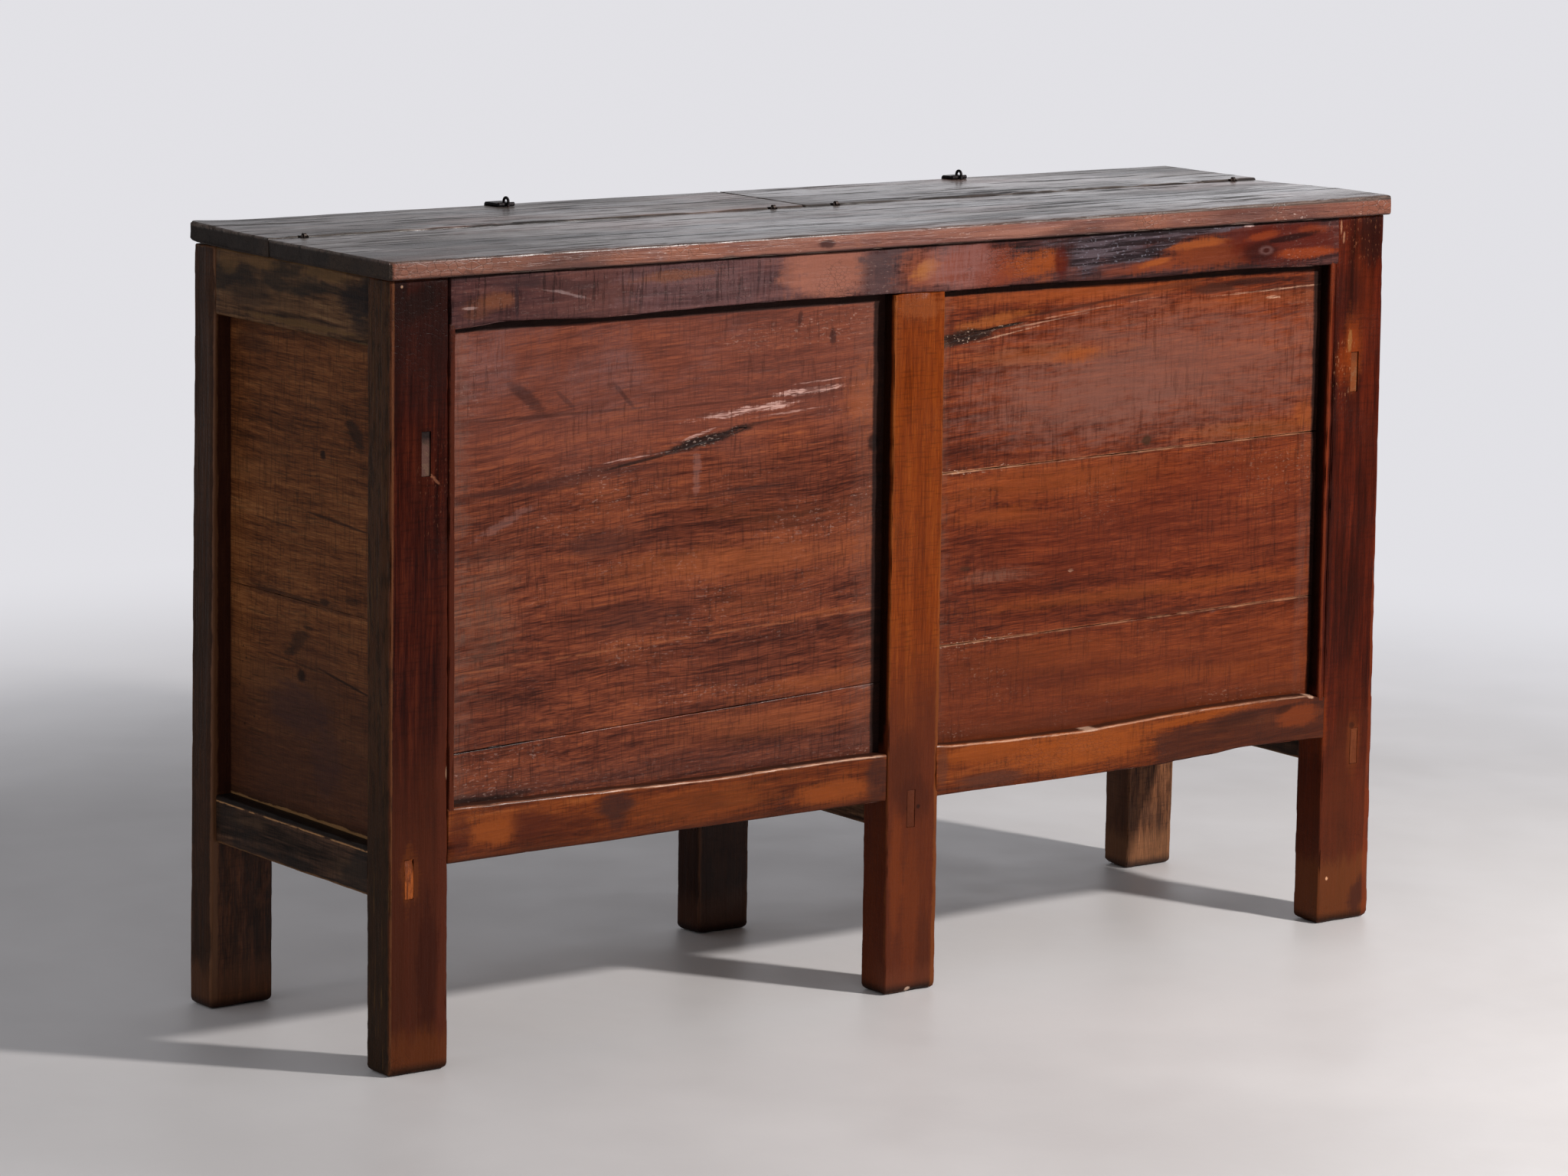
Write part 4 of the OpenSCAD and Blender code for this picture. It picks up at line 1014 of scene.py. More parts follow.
def front_left_panel():
    """Red brown, with milky lacquer in its upper left, a crack and pale strokes."""
    g = Wood("front_left_panel_lacquer", "x", SHADES["left panel"], seed=21.0, wander=0.04, tilt=0.06,
             patches=0.12, deep=0.7, weights=CALM)
    upper = g.ramp(g.uneven(0.12) - (g.x - across(86)) * 0.05, 0.63, 0.70)
    g.tint(upper * 0.3, (126, 76, 64))
    g.marks((148, 80, 40), [
        (490, 543, 180, 18, 0.4), (600, 389, 100, 8, 0.4, 0.03), (550, 348, 120, 16, 0.3),
    ], ragged=1.0, soft=0.8)
    g.marks((156, 86, 46), [(664, 716, 26, 30, 0.4), (610, 471, 90, 3, 0.4, 0.05)], ragged=1.3, soft=0.8)
    g.marks((58, 34, 30), [
        (291, 578, 46, 14, 0.5), (230, 654, 130, 6, 0.5, 0.08), (336, 488, 60, 16, 0.35),
    ], ragged=0.9, soft=0.6)
    g.marks((56, 30, 26), [
        (191, 752, 26, 9, 0.7, -0.7), (322, 746, 14, 4, 0.6, -1.0), (243, 746, 12, 4, 0.5, -0.8),
    ])
    g.marks((56, 30, 26), [(618, 795, 4, 9, 0.8), (570, 819, 3, 8, 0.7, 0.6), (221, 730, 120, 1.8, 0.6)])
    g.marks((60, 30, 24), [
        (470, 729, 130, 1.4, 0.55, 0.02), (291, 664, 120, 1.6, 0.5, 0.13), (171, 648, 80, 3, 0.5),
    ])
    g.marks((44, 30, 28), [(141, 303, 60, 6, 0.6), (470, 623, 90, 4, 0.3, 0.05)])
    cloudy = g.ramp(g.cloud, 0.38, 0.60)
    g.bloom(g.mark(221, 802, 160, 50, ragged=1.2, soft=0.8) * cloudy, (128, 98, 98), 0.35)
    g.bloom(g.mark(135, 510, 40, 70, ragged=1.0, soft=0.6), (128, 98, 80), 0.22)
    g.bloom(g.stretch(52, 108, 12, 90), (126, 100, 88), 0.20)
    g.bloom(g.stretch(655, 710, 12, 90), (130, 88, 72), 0.22)
    g.marks((150, 118, 112), [(425, 652, 5, 26, 0.2, 0.1), (161, 613, 40, 5, 0.2, 0.4)], ragged=1.2)
    black = g.mark(441, 687, 62, 6, 0.17, ragged=0.55)
    g.tint(black * 0.92, (24, 18, 17))
    g.glint(black, 0.8, (130, 116, 108))
    g.marks((30, 16, 12), [
        (347, 669, 46, 1.8, 0.85, 0.14), (680, 666, 8, 10, 0.8), (510, 700, 30, 2, 0.5, 0.12),
    ])
    # Pale broken strokes painted as highlights along the crack
    pale = (204, 170, 160)
    broken = g.ramp(g.fine + g.fibre, 0.90, 1.10, 0.1, 1.0)
    g.marks(pale, [
        (502, 717, 62, 4, 0.7, 0.06), (595, 734, 42, 3, 0.7, 0.05), (436, 696, 26, 1.2, 0.5, 0.25),
    ], broken, ragged=1.2)
    g.marks(pale, [
        (341, 674, 40, 1.0, 0.5, 0.08), (600, 744, 30, 0.9, 0.5, 0.05), (550, 710, 44, 1.2, 0.35, 0.06),
    ], broken, ragged=0.8)
    low = g.fall(g.z + g.rag * 0.05, 0.300, 0.345)
    g.tint(low * 0.25, (84, 54, 48))
    g.glint(low, 0.08)
    g.tint(g.fall(g.z + g.rag * 0.01, 0.3015, 0.3045) * g.stretch(60, 190, 20, 60) * 0.8, (24, 15, 12))
    seam = g.z - 0.356 - (g.x - across(86)) * 0.0375
    line = g.fall(g.size(seam), 0.0005, 0.0018)
    g.tint(line * g.high(g.stretch(52, 196, 10), g.stretch(461, 710, 60) * 0.5) * 0.9, (28, 15, 11))
    joint = g.z - 0.446 - (g.x - across(86)) * 0.037
    g.tint(g.fall(g.size(joint), 0.0004, 0.0022) * g.ramp(g.rag, -0.08, 0.06) * 0.5, (154, 92, 58))
    g.glint(g.ramp(g.patch, 0.48, 0.62) * cloudy, 0.25)
    g.checks(g.ramp(g.cloud, 0.44, 0.60), 0.3)
    # Painted shadow of the middle post and the top rail
    panel_edge_shadow(g, 677, 0.012)
    return g.done((1.02, 0.94, 0.92), coat=0.13, coat_rough=0.22)


def front_right_panel():
    """Orange red, wide grain, with pale lines at the board joints and a crack at the upper left."""
    g = Wood("front_right_panel_lacquer", "x", SHADES["right panel"], seed=23.0, wander=0.04, tilt=0.02,
             patches=0.15, deep=0.7, weights=CALM)
    g.marks((120, 82, 75), [(1140, 720, 250, 70, 0.55), (989, 692, 140, 40, 0.35)], ragged=0.9, soft=0.7)
    g.marks((146, 74, 30), [
        (960, 600, 160, 18, 0.45), (869, 563, 60, 9, 0.45), (1119, 452, 220, 8, 0.4),
    ], ragged=1.1, soft=0.8)
    g.marks((144, 72, 26), [
        (1159, 339, 160, 10, 0.45), (949, 385, 120, 20, 0.3), (989, 750, 26, 7, 0.6, 0.1),
        (1357, 655, 16, 14, 0.6),
    ], ragged=1.0, soft=0.7)
    g.marks((150, 84, 36), [
        (862, 799, 50, 8, 0.6, 0.12), (929, 754, 110, 10, 0.25), (1278, 640, 110, 10, 0.25),
    ], ragged=1.1, soft=0.6)
    g.marks((146, 74, 34), [(1000, 826, 200, 10, 0.5), (1250, 800, 120, 8, 0.3)], ragged=0.9, soft=0.6)
    g.marks((40, 20, 18), [(1260, 822, 90, 4, 0.8), (1330, 812, 60, 4, 0.4)], ragged=0.8)
    g.marks((92, 34, 18), [(1139, 530, 260, 60, 0.4), (1239, 593, 140, 24, 0.3)], ragged=0.9, soft=0.8)
    g.marks((60, 30, 22), [
        (989, 808, 110, 1.8, 0.75, 0.09), (1197, 817, 36, 5, 0.85), (1129, 824, 60, 3, 0.5, 0.05),
    ])
    black = g.high(g.mark(806, 781, 50, 8, 0.08, ragged=0.6), g.mark(858, 789, 56, 2, 0.12, ragged=0.7))
    g.tint(black * 0.9, (26, 17, 14))
    g.glint(black, 0.9, (170, 150, 140))
    # Pale broken strokes painted as highlights on the lacquer
    pale = (206, 168, 148)
    broken = g.ramp(g.fine + g.fibre, 0.86, 1.08, 0.25, 1.0)
    g.marks(pale, [
        (1288, 810, 80, 1.0, 0.45, 0.03), (1298, 801, 10, 1.5, 0.7), (939, 793, 60, 1.0, 0.35, 0.1),
    ], broken, ragged=0.8)
    g.marks(pale, [
        (999, 802, 80, 1.0, 0.25, 0.09), (869, 780, 50, 1.0, 0.5, 0.14), (985, 487, 3, 2, 0.4),
    ], broken, ragged=1.2)
    g.bloom(g.mark(874, 491, 48, 7, ragged=1.2, soft=0.6), (146, 106, 92), 0.28)
    g.marks((52, 36, 24), [(1100, 637, 7, 6, 0.8), (822, 503, 8, 3, 0.5)])
    for base, _ in JOINTS["right"]:
        # Painted highlight along each board joint, brightest at the left, with glints and a darker line just
        # below
        off = g.z - base - (g.x - across(771)) * 0.0145 + g.rag * 0.004
        line = g.fall(g.size(off), 0.0006, 0.0022)
        bright = g.stretch(760, 894, 20, 100) * 0.5 + g.ramp(g.rag, -0.12, 0.04) * 0.5
        g.tint(line * bright * 0.9, (206, 154, 122))
        g.glint(g.fall(g.size(off), 0.002, 0.006) * g.stretch(760, 894, 20, 100), 0.9)
        g.tint(g.ramp(off, -0.0040, -0.0012) * g.fall(off, -0.0012, 0.0004) * 0.4, (52, 22, 14))
    g.bloom(g.stretch(1350, 1388, 4, 10) * g.ramp(g.z, 0.50, 0.56, 1.0, 0.5), (140, 104, 96), 0.15)
    g.bloom(g.stretch(750, 790, 8, 60), (128, 92, 80), 0.25)
    low = g.fall(g.z + g.rag * 0.04, 0.300, 0.325)
    g.tint(low * 0.55, (62, 34, 26))
    g.tint(g.fall(g.z + g.rag * 0.1, 0.36, 0.44, 0.55), (96, 42, 20))
    g.glint(g.ramp(g.patch, 0.50, 0.64) * g.ramp(g.cloud, 0.4, 0.6), 0.2)
    g.checks(g.ramp(g.cloud, 0.44, 0.60), 0.3)
    # Painted shadow of the right post and the top rail
    panel_edge_shadow(g, 1364, 0.021)
    return g.done((0.95, 0.86, 0.74), coat=0.14)


def rear_panel():
    g = Wood("rear_panel_lacquer", "x", SHADES["rear panel"], seed=25.0, wander=0.035, deep=0.7, weights=CALM)
    g.tint(g.ramp(g.noise(5.0, seed=71.0), 0.48, 0.66) * 0.5, (60, 44, 36))
    g.checks(g.ramp(g.cloud, 0.48, 0.62), 0.5)
    g.crackle(scale=220.0, amount=0.3)
    return g.done(coat=0.08, coat_rough=0.25)


def make_panels():
    rear = rear_panel()
    looks = {"left": (front_left_panel(), [LEFT_CRACK]), "right": (front_right_panel(), [RIGHT_CRACK])}
    for row in ("front", "rear"):
        for side in ("left", "right"):
            node = f"{row}_{side}_panel"
            low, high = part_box(node)
            limits = [(low.z, low.z), *JOINTS[side], (high.z, high.z)]

            def line(ends, gap, low=low, high=high):
                """Height of a joint that runs from one height at the left to another at the right."""
                return lambda x: ends[0] + gap + (ends[1] - ends[0]) * (x - low.x) / (high.x - low.x)

            def build(bm, low=low, high=high, limits=limits, line=line):
                for below, above in zip(limits, limits[1:]):
                    edges = (line(below, JOINT_HALF), line(above, -JOINT_HALF))
                    section = box_section(low.y, high.y, *edges, 0.0010, 0.011)
                    swept(bm, "x", spread(low.x, high.x, STEP), section, end_round=0.0005)

            look, cuts = looks[side] if row == "front" else (rear, [])
            seed = 14.0 + len(node) * 0.9
            dress(node, "panel_red_lacquer", look, build, seed, wave=0.0009, dent=0.0012, cuts=cuts)


def side_panel(seed):
    """Olive brown, dull, with dark knots, worm holes and a pale line at its foot."""
    g = Wood(f"side_panel_lacquer_{seed:.0f}", "y", SHADES["side panel"], seed=seed, wander=0.03, face="y",
             patches=0.2, weights=CALM)
    g.tint(g.fall(g.uneven(0.3), 0.34, 0.56, 0.72), (56, 34, 26))
    g.marks((28, 18, 14), [
        (-42, 681, 6, 5, 0.9), (-45, 513, 10, 4, 0.7), (-102, 522, 14, 5, 0.5), (20, 510, 60, 2, 0.5),
        (4, 421, 9, 7, 0.85), (-10, 478, 12, 3, 0.7),
    ])
    g.marks((34, 24, 20), [
        (-110, 712, 16, 12, 0.7, 0.6), (12, 460, 24, 12, 0.6, -0.5), (30, 445, 14, 6, 0.5, -0.5),
    ], ragged=0.9)
    g.marks((36, 24, 22), [
        (-60, 508, 60, 5, 0.4), (40, 506, 60, 3, 0.35), (100, 512, 40, 6, 0.35), (110, 792, 40, 12, 0.45),
    ], ragged=1.2, soft=0.6)
    g.marks((30, 19, 15), [
        (-90, 427, 60, 1.5, 0.8, 0.14), (20, 434, 60, 1.2, 0.5, 0.05), (-70, 608, 80, 1.6, 0.7, 0.06),
        (60, 590, 60, 1.2, 0.5, 0.03),
    ])
    g.marks((48, 34, 38), [(10, 380, 60, 30, 0.45), (-50, 330, 30, 40, 0.35)])
    g.tint(g.ramp(g.fine, 0.55, 0.64) * 0.4, (34, 22, 15))
    worms = g.fall(g.cells(90.0, feature="F1", seed=5.0), 0.08, 0.13) * g.ramp(g.cloud, 0.58, 0.66)
    g.tint(worms * 0.9, (22, 15, 11))
    g.sink(worms, 0.0006)
    g.tint(g.fall(g.z, 0.257, 0.272, 0.5), (40, 27, 21))
    g.tint(g.fall(g.z + g.rag * 0.01, 0.2588, 0.2606) * 0.7, (136, 104, 70))
    g.tint(g.ramp(g.z, 0.800, 0.814) * 0.4, (34, 22, 18))
    g.dull(1.0, 0.50)
    return g.done((1.32, 1.22, 1.08), coat=0.03, coat_rough=0.35)


def side_top_rail(side, seed):
    g = Wood(f"{side}_top_rail_lacquer", "y", SHADES["side top rail"], seed=seed, wander=0.03, face="y")
    g.tint(g.ramp(g.noise((12.0, 9.0, 26.0), detail=4.0, seed=seed), 0.50, 0.62) * 0.75, (32, 30, 28))
    g.marks((26, 22, 24), [(-150, 868, 40, 22, 0.8), (-160, 840, 30, 12, 0.6), (90, 855, 50, 18, 0.5)])
    g.marks((96, 74, 44), [
        (-80, 889, 50, 6, 0.5), (-20, 828, 110, 4, 0.6), (60, 888, 40, 6, 0.4), (130, 880, 20, 10, 0.4),
    ])
    g.worn_edge(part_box(f"{side}_top_rail"), 0.004, (106, 84, 56), 0.5)
    g.dull(1.0, 0.5)
    return g.done((1.25, 1.1, 1.0), coat=0.03, coat_rough=0.3)


def side_low_rail(side, seed):
    """Nearly black, with a pale worn line under its upper edge; the tenon ends match the posts."""
    g = Wood(f"{side}_low_rail_lacquer", "y", SHADES["side low rail"], seed=seed, wander=0.03, face="y")
    g.tint(g.ramp(g.noise((12.0, 10.0, 18.0), detail=4.0, seed=seed + 2), 0.48, 0.62) * 0.65, (28, 27, 26))
    low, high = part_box(f"{side}_bottom_rail")
    g.tint(g.ramp(g.z, high.z - 0.006, high.z - 0.004) * 0.85, (20, 17, 15))
    line = g.size(g.z - high.z + 0.0068) + g.size(g.rag) * 0.004
    g.tint(g.fall(line, 0.0003, 0.0016) * g.ramp(g.rag, -0.10, 0.02) * 0.8, (152, 122, 82))
    g.tint(g.fall(g.z - low.z + g.rag * 0.006, 0.0012, 0.0036) * 0.5, (120, 92, 58))
    ends = g.math("GREATER_THAN", g.size(g.y - MIDDLE_Y), HALF_DEPTH - 0.02)
    g.tint(ends, (128, 70, 28) if side == "left" else (84, 44, 20))
    g.tint(ends * g.ramp(g.noise((420.0, 10.0, 50.0), seed=2.0), 0.42, 0.58) * 0.85, (76, 38, 18))
    g.dull(1.0, 0.5)
    return g.done((1.5, 1.25, 1.2), coat=0.03, coat_rough=0.3)


def middle_low_rail():
    g = Wood("middle_low_rail_wood", "y", SHADES["cross rail"], seed=37.0, wander=0.03, face="y")
    g.tint(g.ramp(g.size(g.y), 0.19, 0.20), (82, 37, 18))
    g.dull(1.0, 0.6)
    return g.done()


def make_ends():
    def rail(u0, u1, z0, z1, tenons):
        def build(bm):
            section = box_section(u0, u1, z0, z1, 0.0028, 0.009)
            swept(bm, "y", spread(FRONT + POST_D, REAR - POST_D, STEP), section)
            for middle in tenons:
                for row in ("front", "rear"):
                    tenon_end(bm, middle, row, LOW_TENON)

        return build

    for i, side in enumerate(("left", "right")):
        low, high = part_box(f"{side}_side_panel")

        def boards(bm, low=low, high=high):
            for a, b in ((low.z, SIDE_JOINT - mm(0.05)), (SIDE_JOINT + mm(0.05), high.z)):
                section = box_section(low.x, high.x, a, b, 0.0005, 0.011)
                swept(bm, "y", spread(low.y, high.y, STEP), section, end_round=0.0005)

        panel = side_panel(31.0 + i)
        dress(f"{side}_side_panel", "olive_brown_lacquer", panel, boards, 40.0 + i, wave=0.0008, dent=0.001)
        top = rail(*span(side_of(side, 0.0), side_of(side, SIDE_TOP_W)), SIDE_TOP_FOOT, TOP, ())
        dress(f"{side}_top_rail", "olive_brown_lacquer", side_top_rail(side, 33.0 + i), top, 43.0 + i)
        width = span(side_of(side, 0.0), side_of(side, SIDE_LOW_W))
        low_rail = rail(*width, *LOW_RAIL, [side_of(side, LOW_TENON_AT)])
        dress(f"{side}_bottom_rail", "dark_olive_lacquer", side_low_rail(side, 35.0 + i), low_rail, 46.0 + i)
    low_rail = rail(-SIDE_LOW_W / 2, SIDE_LOW_W / 2, *LOW_RAIL, [0.0])
    dress("middle_bottom_rail", "bare_wood", middle_low_rail(), low_rail, 51.0)


# The top


def plank_edge(g, edge):
    """Salmon brown front edge of the plank, from its paler left to its redder right."""
    lines = g.ramp(g.noise(grained("x", 5.0, 190.0), detail=4.0, rough=0.65, seed=g.seed + 12), 0.38, 0.62)
    g.tint(edge, (108, 64, 54))
    g.tint(edge * lines * 0.75, (142, 92, 74))
    g.tint(edge * g.ramp(g.cloud, 0.46, 0.60) * 0.55, (150, 88, 60))
    g.tint(edge * g.ramp(g.patch, 0.48, 0.36) * 0.7, (74, 42, 36))
    g.tint(edge * g.stretch(-20, 260, 80) * 0.35, (84, 54, 46))
    g.tint(edge * g.stretch(1080, 1500, 80) * 0.55, (88, 46, 36))
    g.tint(g.fall(g.y + g.rag * 0.02, NEAR_FRONT, NEAR_FRONT + 0.040) * (1.0 - edge) * 0.3, (88, 58, 48))
    g.tint(edge * g.mark(588, 907, 11, 5, ragged=0.4) * 0.85, (54, 22, 18))
    g.glint(edge * g.ramp(g.rag, 0.0, 0.14), 0.5)


def top_look(node, seed):
    """Grey brown weathered lacquer of the plank and the lids."""
    low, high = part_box(node)
    g = Wood(f"{node}_lacquer", "x", SHADES["top"], seed=seed, wander=0.03)
    broad = g.noise((2.2, 9.0, 9.0), detail=4.0, rough=0.65, seed=seed + 21)
    g.tint(g.ramp(g.drawn(2.0, 30.0, 5.0, 0.65, 3), 0.46, 0.62) * 0.5, (104, 94, 86))
    g.tint(g.ramp(g.noise((3.0, 9.0, 9.0), detail=4.0, seed=seed + 6), 0.54, 0.66) * 0.45, (112, 70, 56))
    dark = g.ramp(g.drawn(5.0, 95.0, 4.0, 0.7, 8), 0.54, 0.62)
    g.tint(dark * 0.85, (22, 17, 16))
    g.sink(dark, 0.0005)
    hair = g.ramp(g.drawn(14.0, 330.0, 3.0, 0.55, 9), 0.60, 0.67)
    g.tint(hair * 0.7, (20, 16, 15))
    g.sink(hair, 0.0003)
    lines = g.high(dark, hair)
    wear = g.ramp(g.noise((4.0, 12.0, 8.0), detail=5.0, rough=0.7, seed=seed + 11), 0.42, 0.62)
    g.dull(wear * 0.8, 0.46)
    g.dull(lines, 0.8)
    g.tint(g.ramp(broad, 0.50, 0.64) * 0.5, (40, 30, 27))
    g.dull(g.ramp(broad, 0.46, 0.62) * 0.6, 0.6)
    # The side of the board at the seam is left out of its worn rim
    outer, past = (Vector(low), Vector(high)), mm(50)
    face = g.fall(g.y, low.y + 0.0010, low.y + 0.0030)
    if node == "fixed_top_plank":
        plank_edge(g, face * g.fall(g.z, high.z - 0.0035, high.z - 0.0010))
        g.tint(face * g.fall(g.z, low.z + 0.0005, low.z + 0.003, 0.8), (40, 22, 18))
        outer[1].y += past
    else:
        outer[0].y -= past
    shut = g.fall(g.size(g.y - SEAM_Y) + g.rag * 0.002, 0.0008, 0.0024)
    g.tint(shut * 0.75, (24, 17, 15))
    g.dull(shut, 0.8)
    rim = g.fall(g.edge_gap(outer) + g.rag * 0.012, 0.0007, 0.0045)
    g.tint(rim * (1.0 - face) * 0.30, (120, 100, 86))
    ends = g.ramp(g.size(g.x) + X0, 0.0040, 0.0062) * g.fall(g.z, high.z - 0.0045, high.z - 0.0015)
    g.tint(ends * 0.92, (38, 28, 23))
    g.tint(ends * g.ramp(g.cloud, 0.48, 0.62) * 0.6, (64, 46, 32))
    g.dull(ends, 0.75)
    g.crackle(scale=150.0, amount=0.35, depth=0.0002)
    under = g.fall(g.z, low.z + 0.0020, low.z + 0.0045)
    g.dull(under, 0.8)
    g.tint(under * 0.2, (50, 30, 26))
    # The lacquer shines least in the dark lines, at seam and ends, under the board and at its front
    shine = (1.0 - under) * g.low(1.0 - lines * 0.85, 1.0 - g.high(shut, g.high(ends, face)) * 0.8)
    shine = shine * g.ramp(broad, 0.36, 0.62, 0.62, 0.28)
    shine = shine * g.ramp(g.y + g.rag * 0.02, NEAR_FRONT, NEAR_FRONT + 0.045, 0.7, 1.0)
    return g.done(coat=shine, level=0.42)


def round_in(x, end, radius):
    """How far a corner that is round in plan has come in, at a place near its end."""
    gap = abs(x - end)
    return radius - math.sqrt(radius * radius - (radius - gap) ** 2) if gap < radius else 0.0


def plank_warp(co):
    """The front right corner of the plank stands up a little, in the upper part of its thickness."""
    front = min(1.0, max(0.0, (PLANK_HIGH.y - mm(40) - co.y) / mm(120)))
    above = min(1.0, max(0.0, (co.z - PLANK_LOW.z) / (PLANK_HIGH.z - PLANK_LOW.z)))
    return Vector((0.0, 0.0, mm(3.5) * front * above * max(0.0, co.x / PLANK_HIGH.x)))


def left_lid_warp(co):
    """The rear left corner of the left lid has lifted."""
    near = max(0.0, 1 - (co.x - LID_LOW.x) / mm(75)) ** 2 * max(0.0, 1 - (LID_HIGH.y - co.y) / mm(110))
    return Vector((0.0, 0.0, mm(3) * near))


def staple_cuts(low, high, side):
    """Notches for the hinge staples' legs, in the edge of a board at the seam."""
    leg, half, deep, sunk = mm(5.55), mm(7.0), mm(4.2), mm(4.4)
    y0, y1 = (high.y - deep, high.y + 0.01) if side == "front" else (low.y - 0.01, low.y + deep)
    cuts = []
    for hinge in ("left", "right"):
        a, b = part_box(f"{hinge}_hinge_staples")
        for x in (a.x + leg, b.x - leg):
            if low.x < x < high.x:
                cuts.append((box_points(x - half, x + half, high.z - sunk, high.z + 0.01), y0, y1))
    return cuts


def make_top():
    """Dresses the plank and the lids, each with its two front and two rear corner radii."""
    for node, front, back, seed, warp in (
        ("fixed_top_plank", (0.004, 0.006), (0.0, 0.0), 61.0, plank_warp),
        ("left_lid", (0.0, 0.0), (0.014, 0.0), 64.0, left_lid_warp),
        ("right_lid", (0.0, 0.0), (0.0, 0.008), 67.0, None),
    ):
        low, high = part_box(node)

        def inset(x, radii, low=low, high=high):
            return round_in(x, low.x, radii[0]) + round_in(x, high.x, radii[1])

        def build(bm, low=low, high=high, front=front, back=back, inset=inset):
            first = low.x - (END_PAST if low.x < X0 else 0.0)
            last = high.x - (END_SHORT if high.x > -X0 else 0.0)
            close = [0.002, 0.004, 0.007, 0.010, 0.014]
            stations = spread(first, last, STEP) + [first + d for d in close] + [last - d for d in close]
            y0, y1 = (lambda x: low.y + inset(x, front)), (lambda x: high.y - inset(x, back))
            section = box_section(y0, y1, low.z, high.z, 0.0026, 0.010)
            swept(bm, "x", sorted(set(stations)), section, end_round=0.0022)

        cuts = staple_cuts(low, high, "front" if node == "fixed_top_plank" else "rear")
        worn = {"wave": 0.0005, "dent": 0.004, "cuts": cuts, "warp": warp}
        dress(node, "weathered_top_lacquer", top_look(node, seed), build, seed / 3, **worn)


# What stays as the solid


def paint(node, material):
    """Gives a CAD node that stays visible its material."""
    nodes[node].data.materials.clear()
    nodes[node].data.materials.append(material)


# Bare wood inside the chest, with the axis of its grain
BARE = {
    "middle_top_rail": "y", "left_side_batten": "y", "right_side_batten": "y", "partition": "y",
    "left_floor_boards": "x", "right_floor_boards": "x", "plank_dowels": "z",
    "left_lid_battens": "y", "right_lid_battens": "y",
}


def make_inside():
    for i, (node, grain) in enumerate(BARE.items()):
        g = Wood(f"{node}_wood", grain, SHADES["bare"], seed=71.0 + i)
        g.tint(g.ramp(g.noise(8.0, seed=80.0 + i), 0.5, 0.66) * 0.5, (78, 60, 46))
        if "side_batten" in node:
            face, head = ((88, 60, 52), (34, 22, 20)) if "left" in node else ((112, 56, 24), (96, 46, 20))
            ends = g.ramp(g.size(g.y - MIDDLE_Y), HALF_DEPTH - 0.006, HALF_DEPTH - 0.004)
            g.tint(ends, face)
            g.tint(ends * g.ramp(g.rag, -0.02, 0.08) * 0.25, (120, 96, 72))
            # The top of the tenon end is darker: on the left batten painted as shadow in its slot, on the
            # right only a little darker orange
            g.tint(ends * g.ramp(g.z + g.rag * 0.02, 0.708, 0.722), head)
        g.dull(1.0, 0.68)
        paint(node, g.done())


def iron(name, dark, pale, stain):
    g = Graph(name)
    pits = g.noise(420.0, detail=4.0, rough=0.7)
    hammer = g.noise(70.0, detail=2.0)
    rust = g.ramp(g.noise(150.0, detail=5.0, rough=0.7, seed=7.0), 0.54, 0.68)
    colour = g.mix(g.ramp(pits, 0.35, 0.65), rgb(*dark), rgb(*pale))
    colour = g.mix(rust * 0.7, colour, rgb(*stain))
    rough = g.ramp(pits, 0.3, 0.7, 0.34, 0.6)
    height = (pits - 0.5) * 0.00022 + (hammer - 0.5) * 0.0006
    return g.finish(colour, rough, height, metal=0.6)


def make_iron():
    """Black hasps, and hinges that are half hidden by the lacquer of the top."""
    black = iron("black_iron_skin", (22, 20, 22), (50, 45, 46), (76, 48, 40))
    lacquered = iron("lacquered_iron_skin", (46, 38, 35), (84, 74, 70), (98, 76, 66))
    for node in nodes:
        if any(word in node for word in ("hasp", "lock")):
            paint(node, black)
        elif "hinge" in node:
            paint(node, lacquered)


# Floor, light and camera


# Colour of floor and room far away, and the directions behind the chest and to its right
PALE = (0.76, 0.755, 0.79, 1.0)
BEHIND = (0.53, 0.85, 0.0)
BRIGHT_SIDE = (0.80, -0.60, 0.0)


def room_glow(g, away, aside, least):
    """How bright the room is to reflections: most of all behind the chest, and more at its right."""
    return g.ramp(away, 0.25, 0.9, least, 1.0) * g.ramp(aside, -0.15, 0.10, 0.5, 1.35)


def make_floor():
    bm = bmesh.new()
    bmesh.ops.create_circle(bm, cap_ends=True, segments=64, radius=40.0)
    mesh = bpy.data.meshes.new("floor")
    bm.to_mesh(mesh)
    bm.free()
    floor = bpy.data.objects.new("floor", mesh)
    bpy.context.scene.collection.objects.link(floor)
    g = Graph("floor_paint")
    path = g.add("ShaderNodeLightPath").outputs
    colour = g.mix(g.ramp(g.noise(1.3, detail=4.0), 0.35, 0.65), rgb(206, 201, 200), rgb(216, 211, 210))
    colour = g.mix(Value(g, path["Is Glossy Ray"]) * 0.6, colour, rgb(0, 0, 0))
    rough = g.ramp(g.noise(5.0, detail=4.0), 0.3, 0.7, 0.42, 0.55)
    g.finish(colour, rough, (g.noise(30.0) - 0.5) * 0.0004, level=0.35)
    reach = g.math("SQRT", g.x * g.x + g.y * g.y)
    away = g.x * BEHIND[0] + g.y * BEHIND[1]
    aside = g.x * BRIGHT_SIDE[0] + g.y * BRIGHT_SIDE[1]
    bright = room_glow(g, away / reach, aside / reach, 0.0)
    seen = g.high(path["Is Camera Ray"], g.high(path["Is Glossy Ray"], path["Is Transmission Ray"]) * bright)
    glow = g.add("ShaderNodeEmission", {"Color": PALE, "Strength": 1.0})
    paint_out = g.tree.nodes["Principled BSDF"].outputs[0]
    far = g.ramp(reach, 1.1, 3.0) * seen
    blend = g.add("ShaderNodeMixShader", {0: far, 1: paint_out, 2: glow.outputs[0]})
    g.feed(g.tree.nodes["Material Output"].inputs[0], blend.outputs[0])
    mesh.materials.append(g.material)


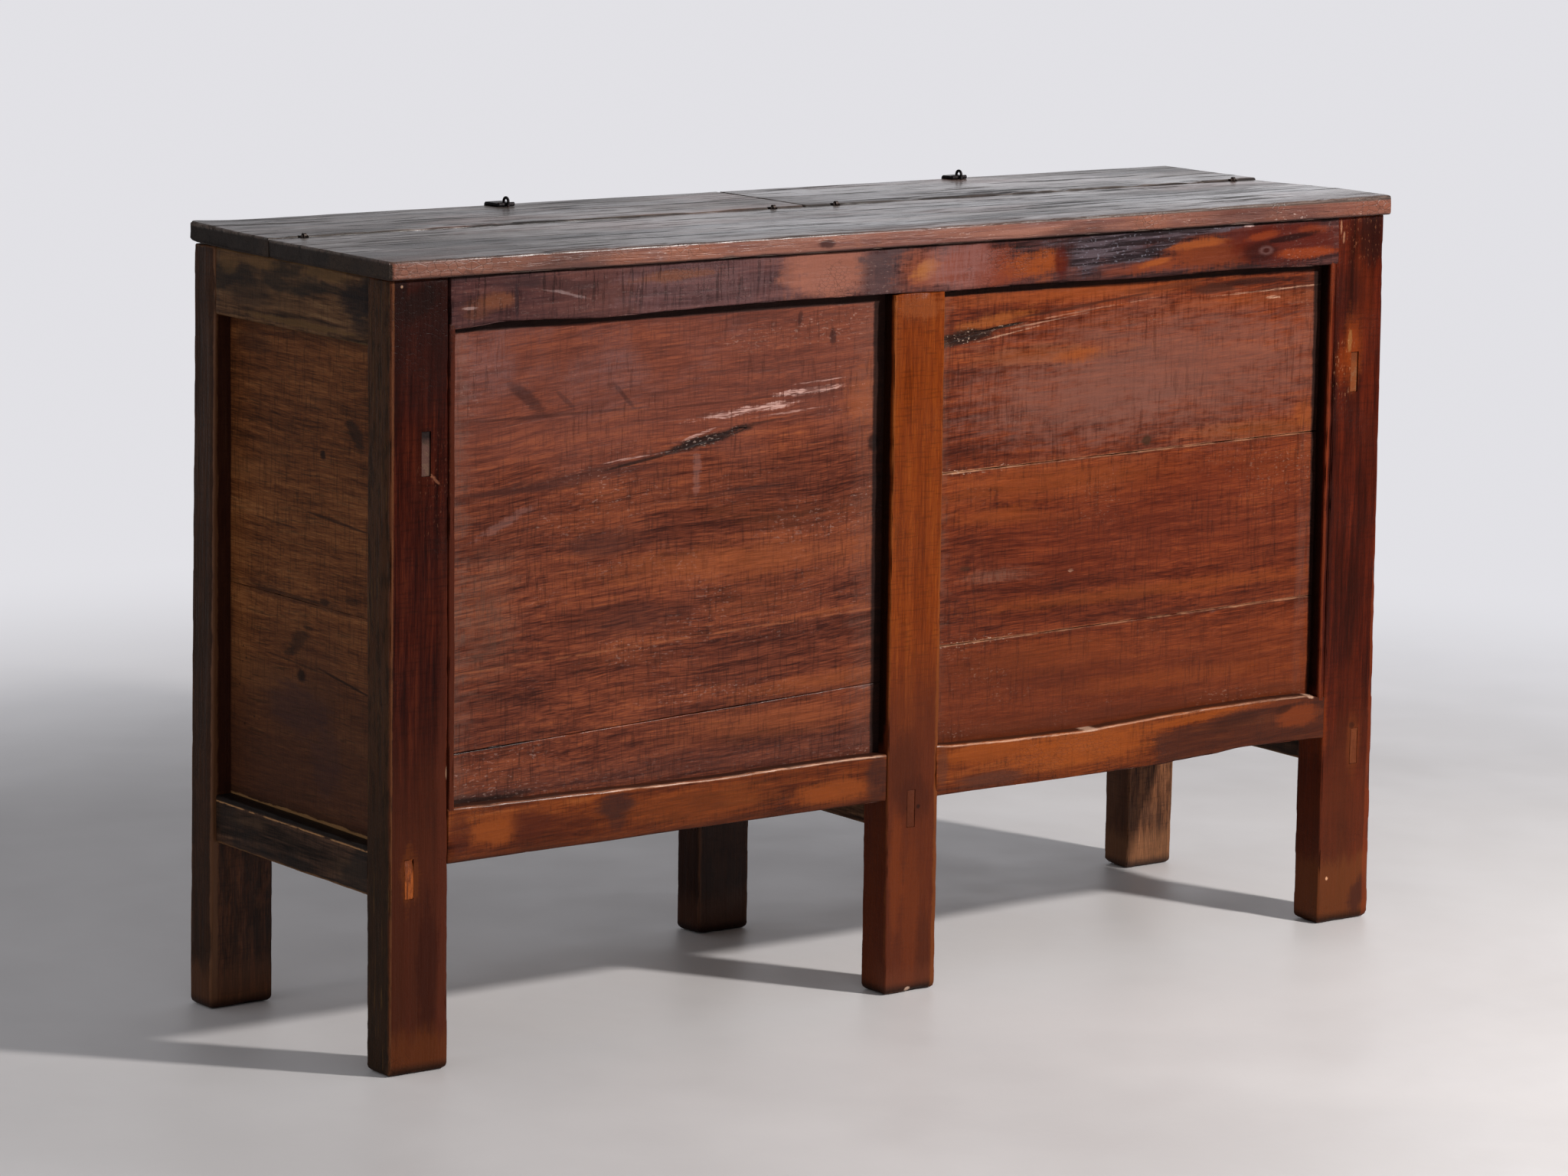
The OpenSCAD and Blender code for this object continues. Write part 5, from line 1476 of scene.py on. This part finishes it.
def make_world():
    """Pale to the camera, dim as a light, and bright to reflections only behind the chest."""
    world = bpy.data.worlds.new("studio")
    bpy.context.scene.world = world
    world.use_nodes = True
    w = Graph.__new__(Graph)
    w.tree = world.node_tree
    w.tree.nodes.clear()
    at = w.add("ShaderNodeTexCoord").outputs["Generated"]

    def toward(direction):
        return w.add("ShaderNodeVectorMath", {0: at, 1: direction}, operation="DOT_PRODUCT").outputs["Value"]

    behind = room_glow(w, toward(BEHIND), toward(BRIGHT_SIDE), 0.15)
    path = w.add("ShaderNodeLightPath").outputs
    seen = w.high(path["Is Camera Ray"], w.high(path["Is Glossy Ray"], path["Is Transmission Ray"]))
    strength = w.high(path["Is Camera Ray"], behind * (1.0 - Value(w, path["Is Camera Ray"])))
    room = w.add("ShaderNodeBackground", {"Color": (0.92, 0.95, 1.0, 1.0), "Strength": 0.36})
    shown = w.add("ShaderNodeBackground", {"Color": PALE, "Strength": strength})
    blend = w.add("ShaderNodeMixShader", {0: seen, 1: room.outputs[0], 2: shown.outputs[0]})
    w.add("ShaderNodeOutputWorld", {"Surface": blend.outputs[0]})


def make_lights():
    """A small key lamp that fits the photo's shadows, and a weak fill from the left."""
    aim = Vector((0.0, 0.0, 0.45))
    for name, place, size, power, colour in (
        ("key", (1.6, -2.85, 2.42), 0.28, 150.0, (1.0, 0.985, 0.96)),
        ("fill", (-3.2, 0.1, 0.6), 1.2, 8.0, (1.0, 0.99, 0.98)),
    ):
        data = bpy.data.lights.new(name, "AREA")
        data.shape = "DISK"
        data.size = size
        data.energy = power
        data.color = colour
        lamp = bpy.data.objects.new(name, data)
        lamp.location = place
        lamp.rotation_mode = "QUATERNION"
        lamp.rotation_quaternion = (aim - lamp.location).to_track_quat("-Z", "Y")
        bpy.context.scene.collection.objects.link(lamp)


def make_camera():
    """The camera that was fitted to the photo."""
    place = (-4.0357, -5.3519, 1.6192)
    yaw, pitch, roll = -0.64225, -0.17154, 0.01699
    focal, photo_width = 7337.3, 2048
    forward = Vector((-math.sin(yaw) * math.cos(pitch), math.cos(yaw) * math.cos(pitch), math.sin(pitch)))
    right = Vector((math.cos(yaw), math.sin(yaw), 0.0))
    up = right.cross(forward)
    side = right * math.cos(roll) + up * math.sin(roll)
    over = up * math.cos(roll) - right * math.sin(roll)
    data = bpy.data.cameras.new("camera")
    data.sensor_width = 36.0
    data.lens = focal / photo_width * data.sensor_width
    data.clip_end = 100.0
    cam = bpy.data.objects.new("camera", data)
    turn = Matrix((side, over, -forward)).transposed().to_4x4()
    cam.matrix_world = Matrix.Translation(place) @ turn
    bpy.context.scene.collection.objects.link(cam)
    bpy.context.scene.camera = cam


make_posts()
make_long_rails()
make_panels()
make_ends()
make_top()
make_inside()
make_iron()
make_floor()
make_world()
make_lights()
make_camera()

bpy.context.scene.view_settings.view_transform = "Standard"
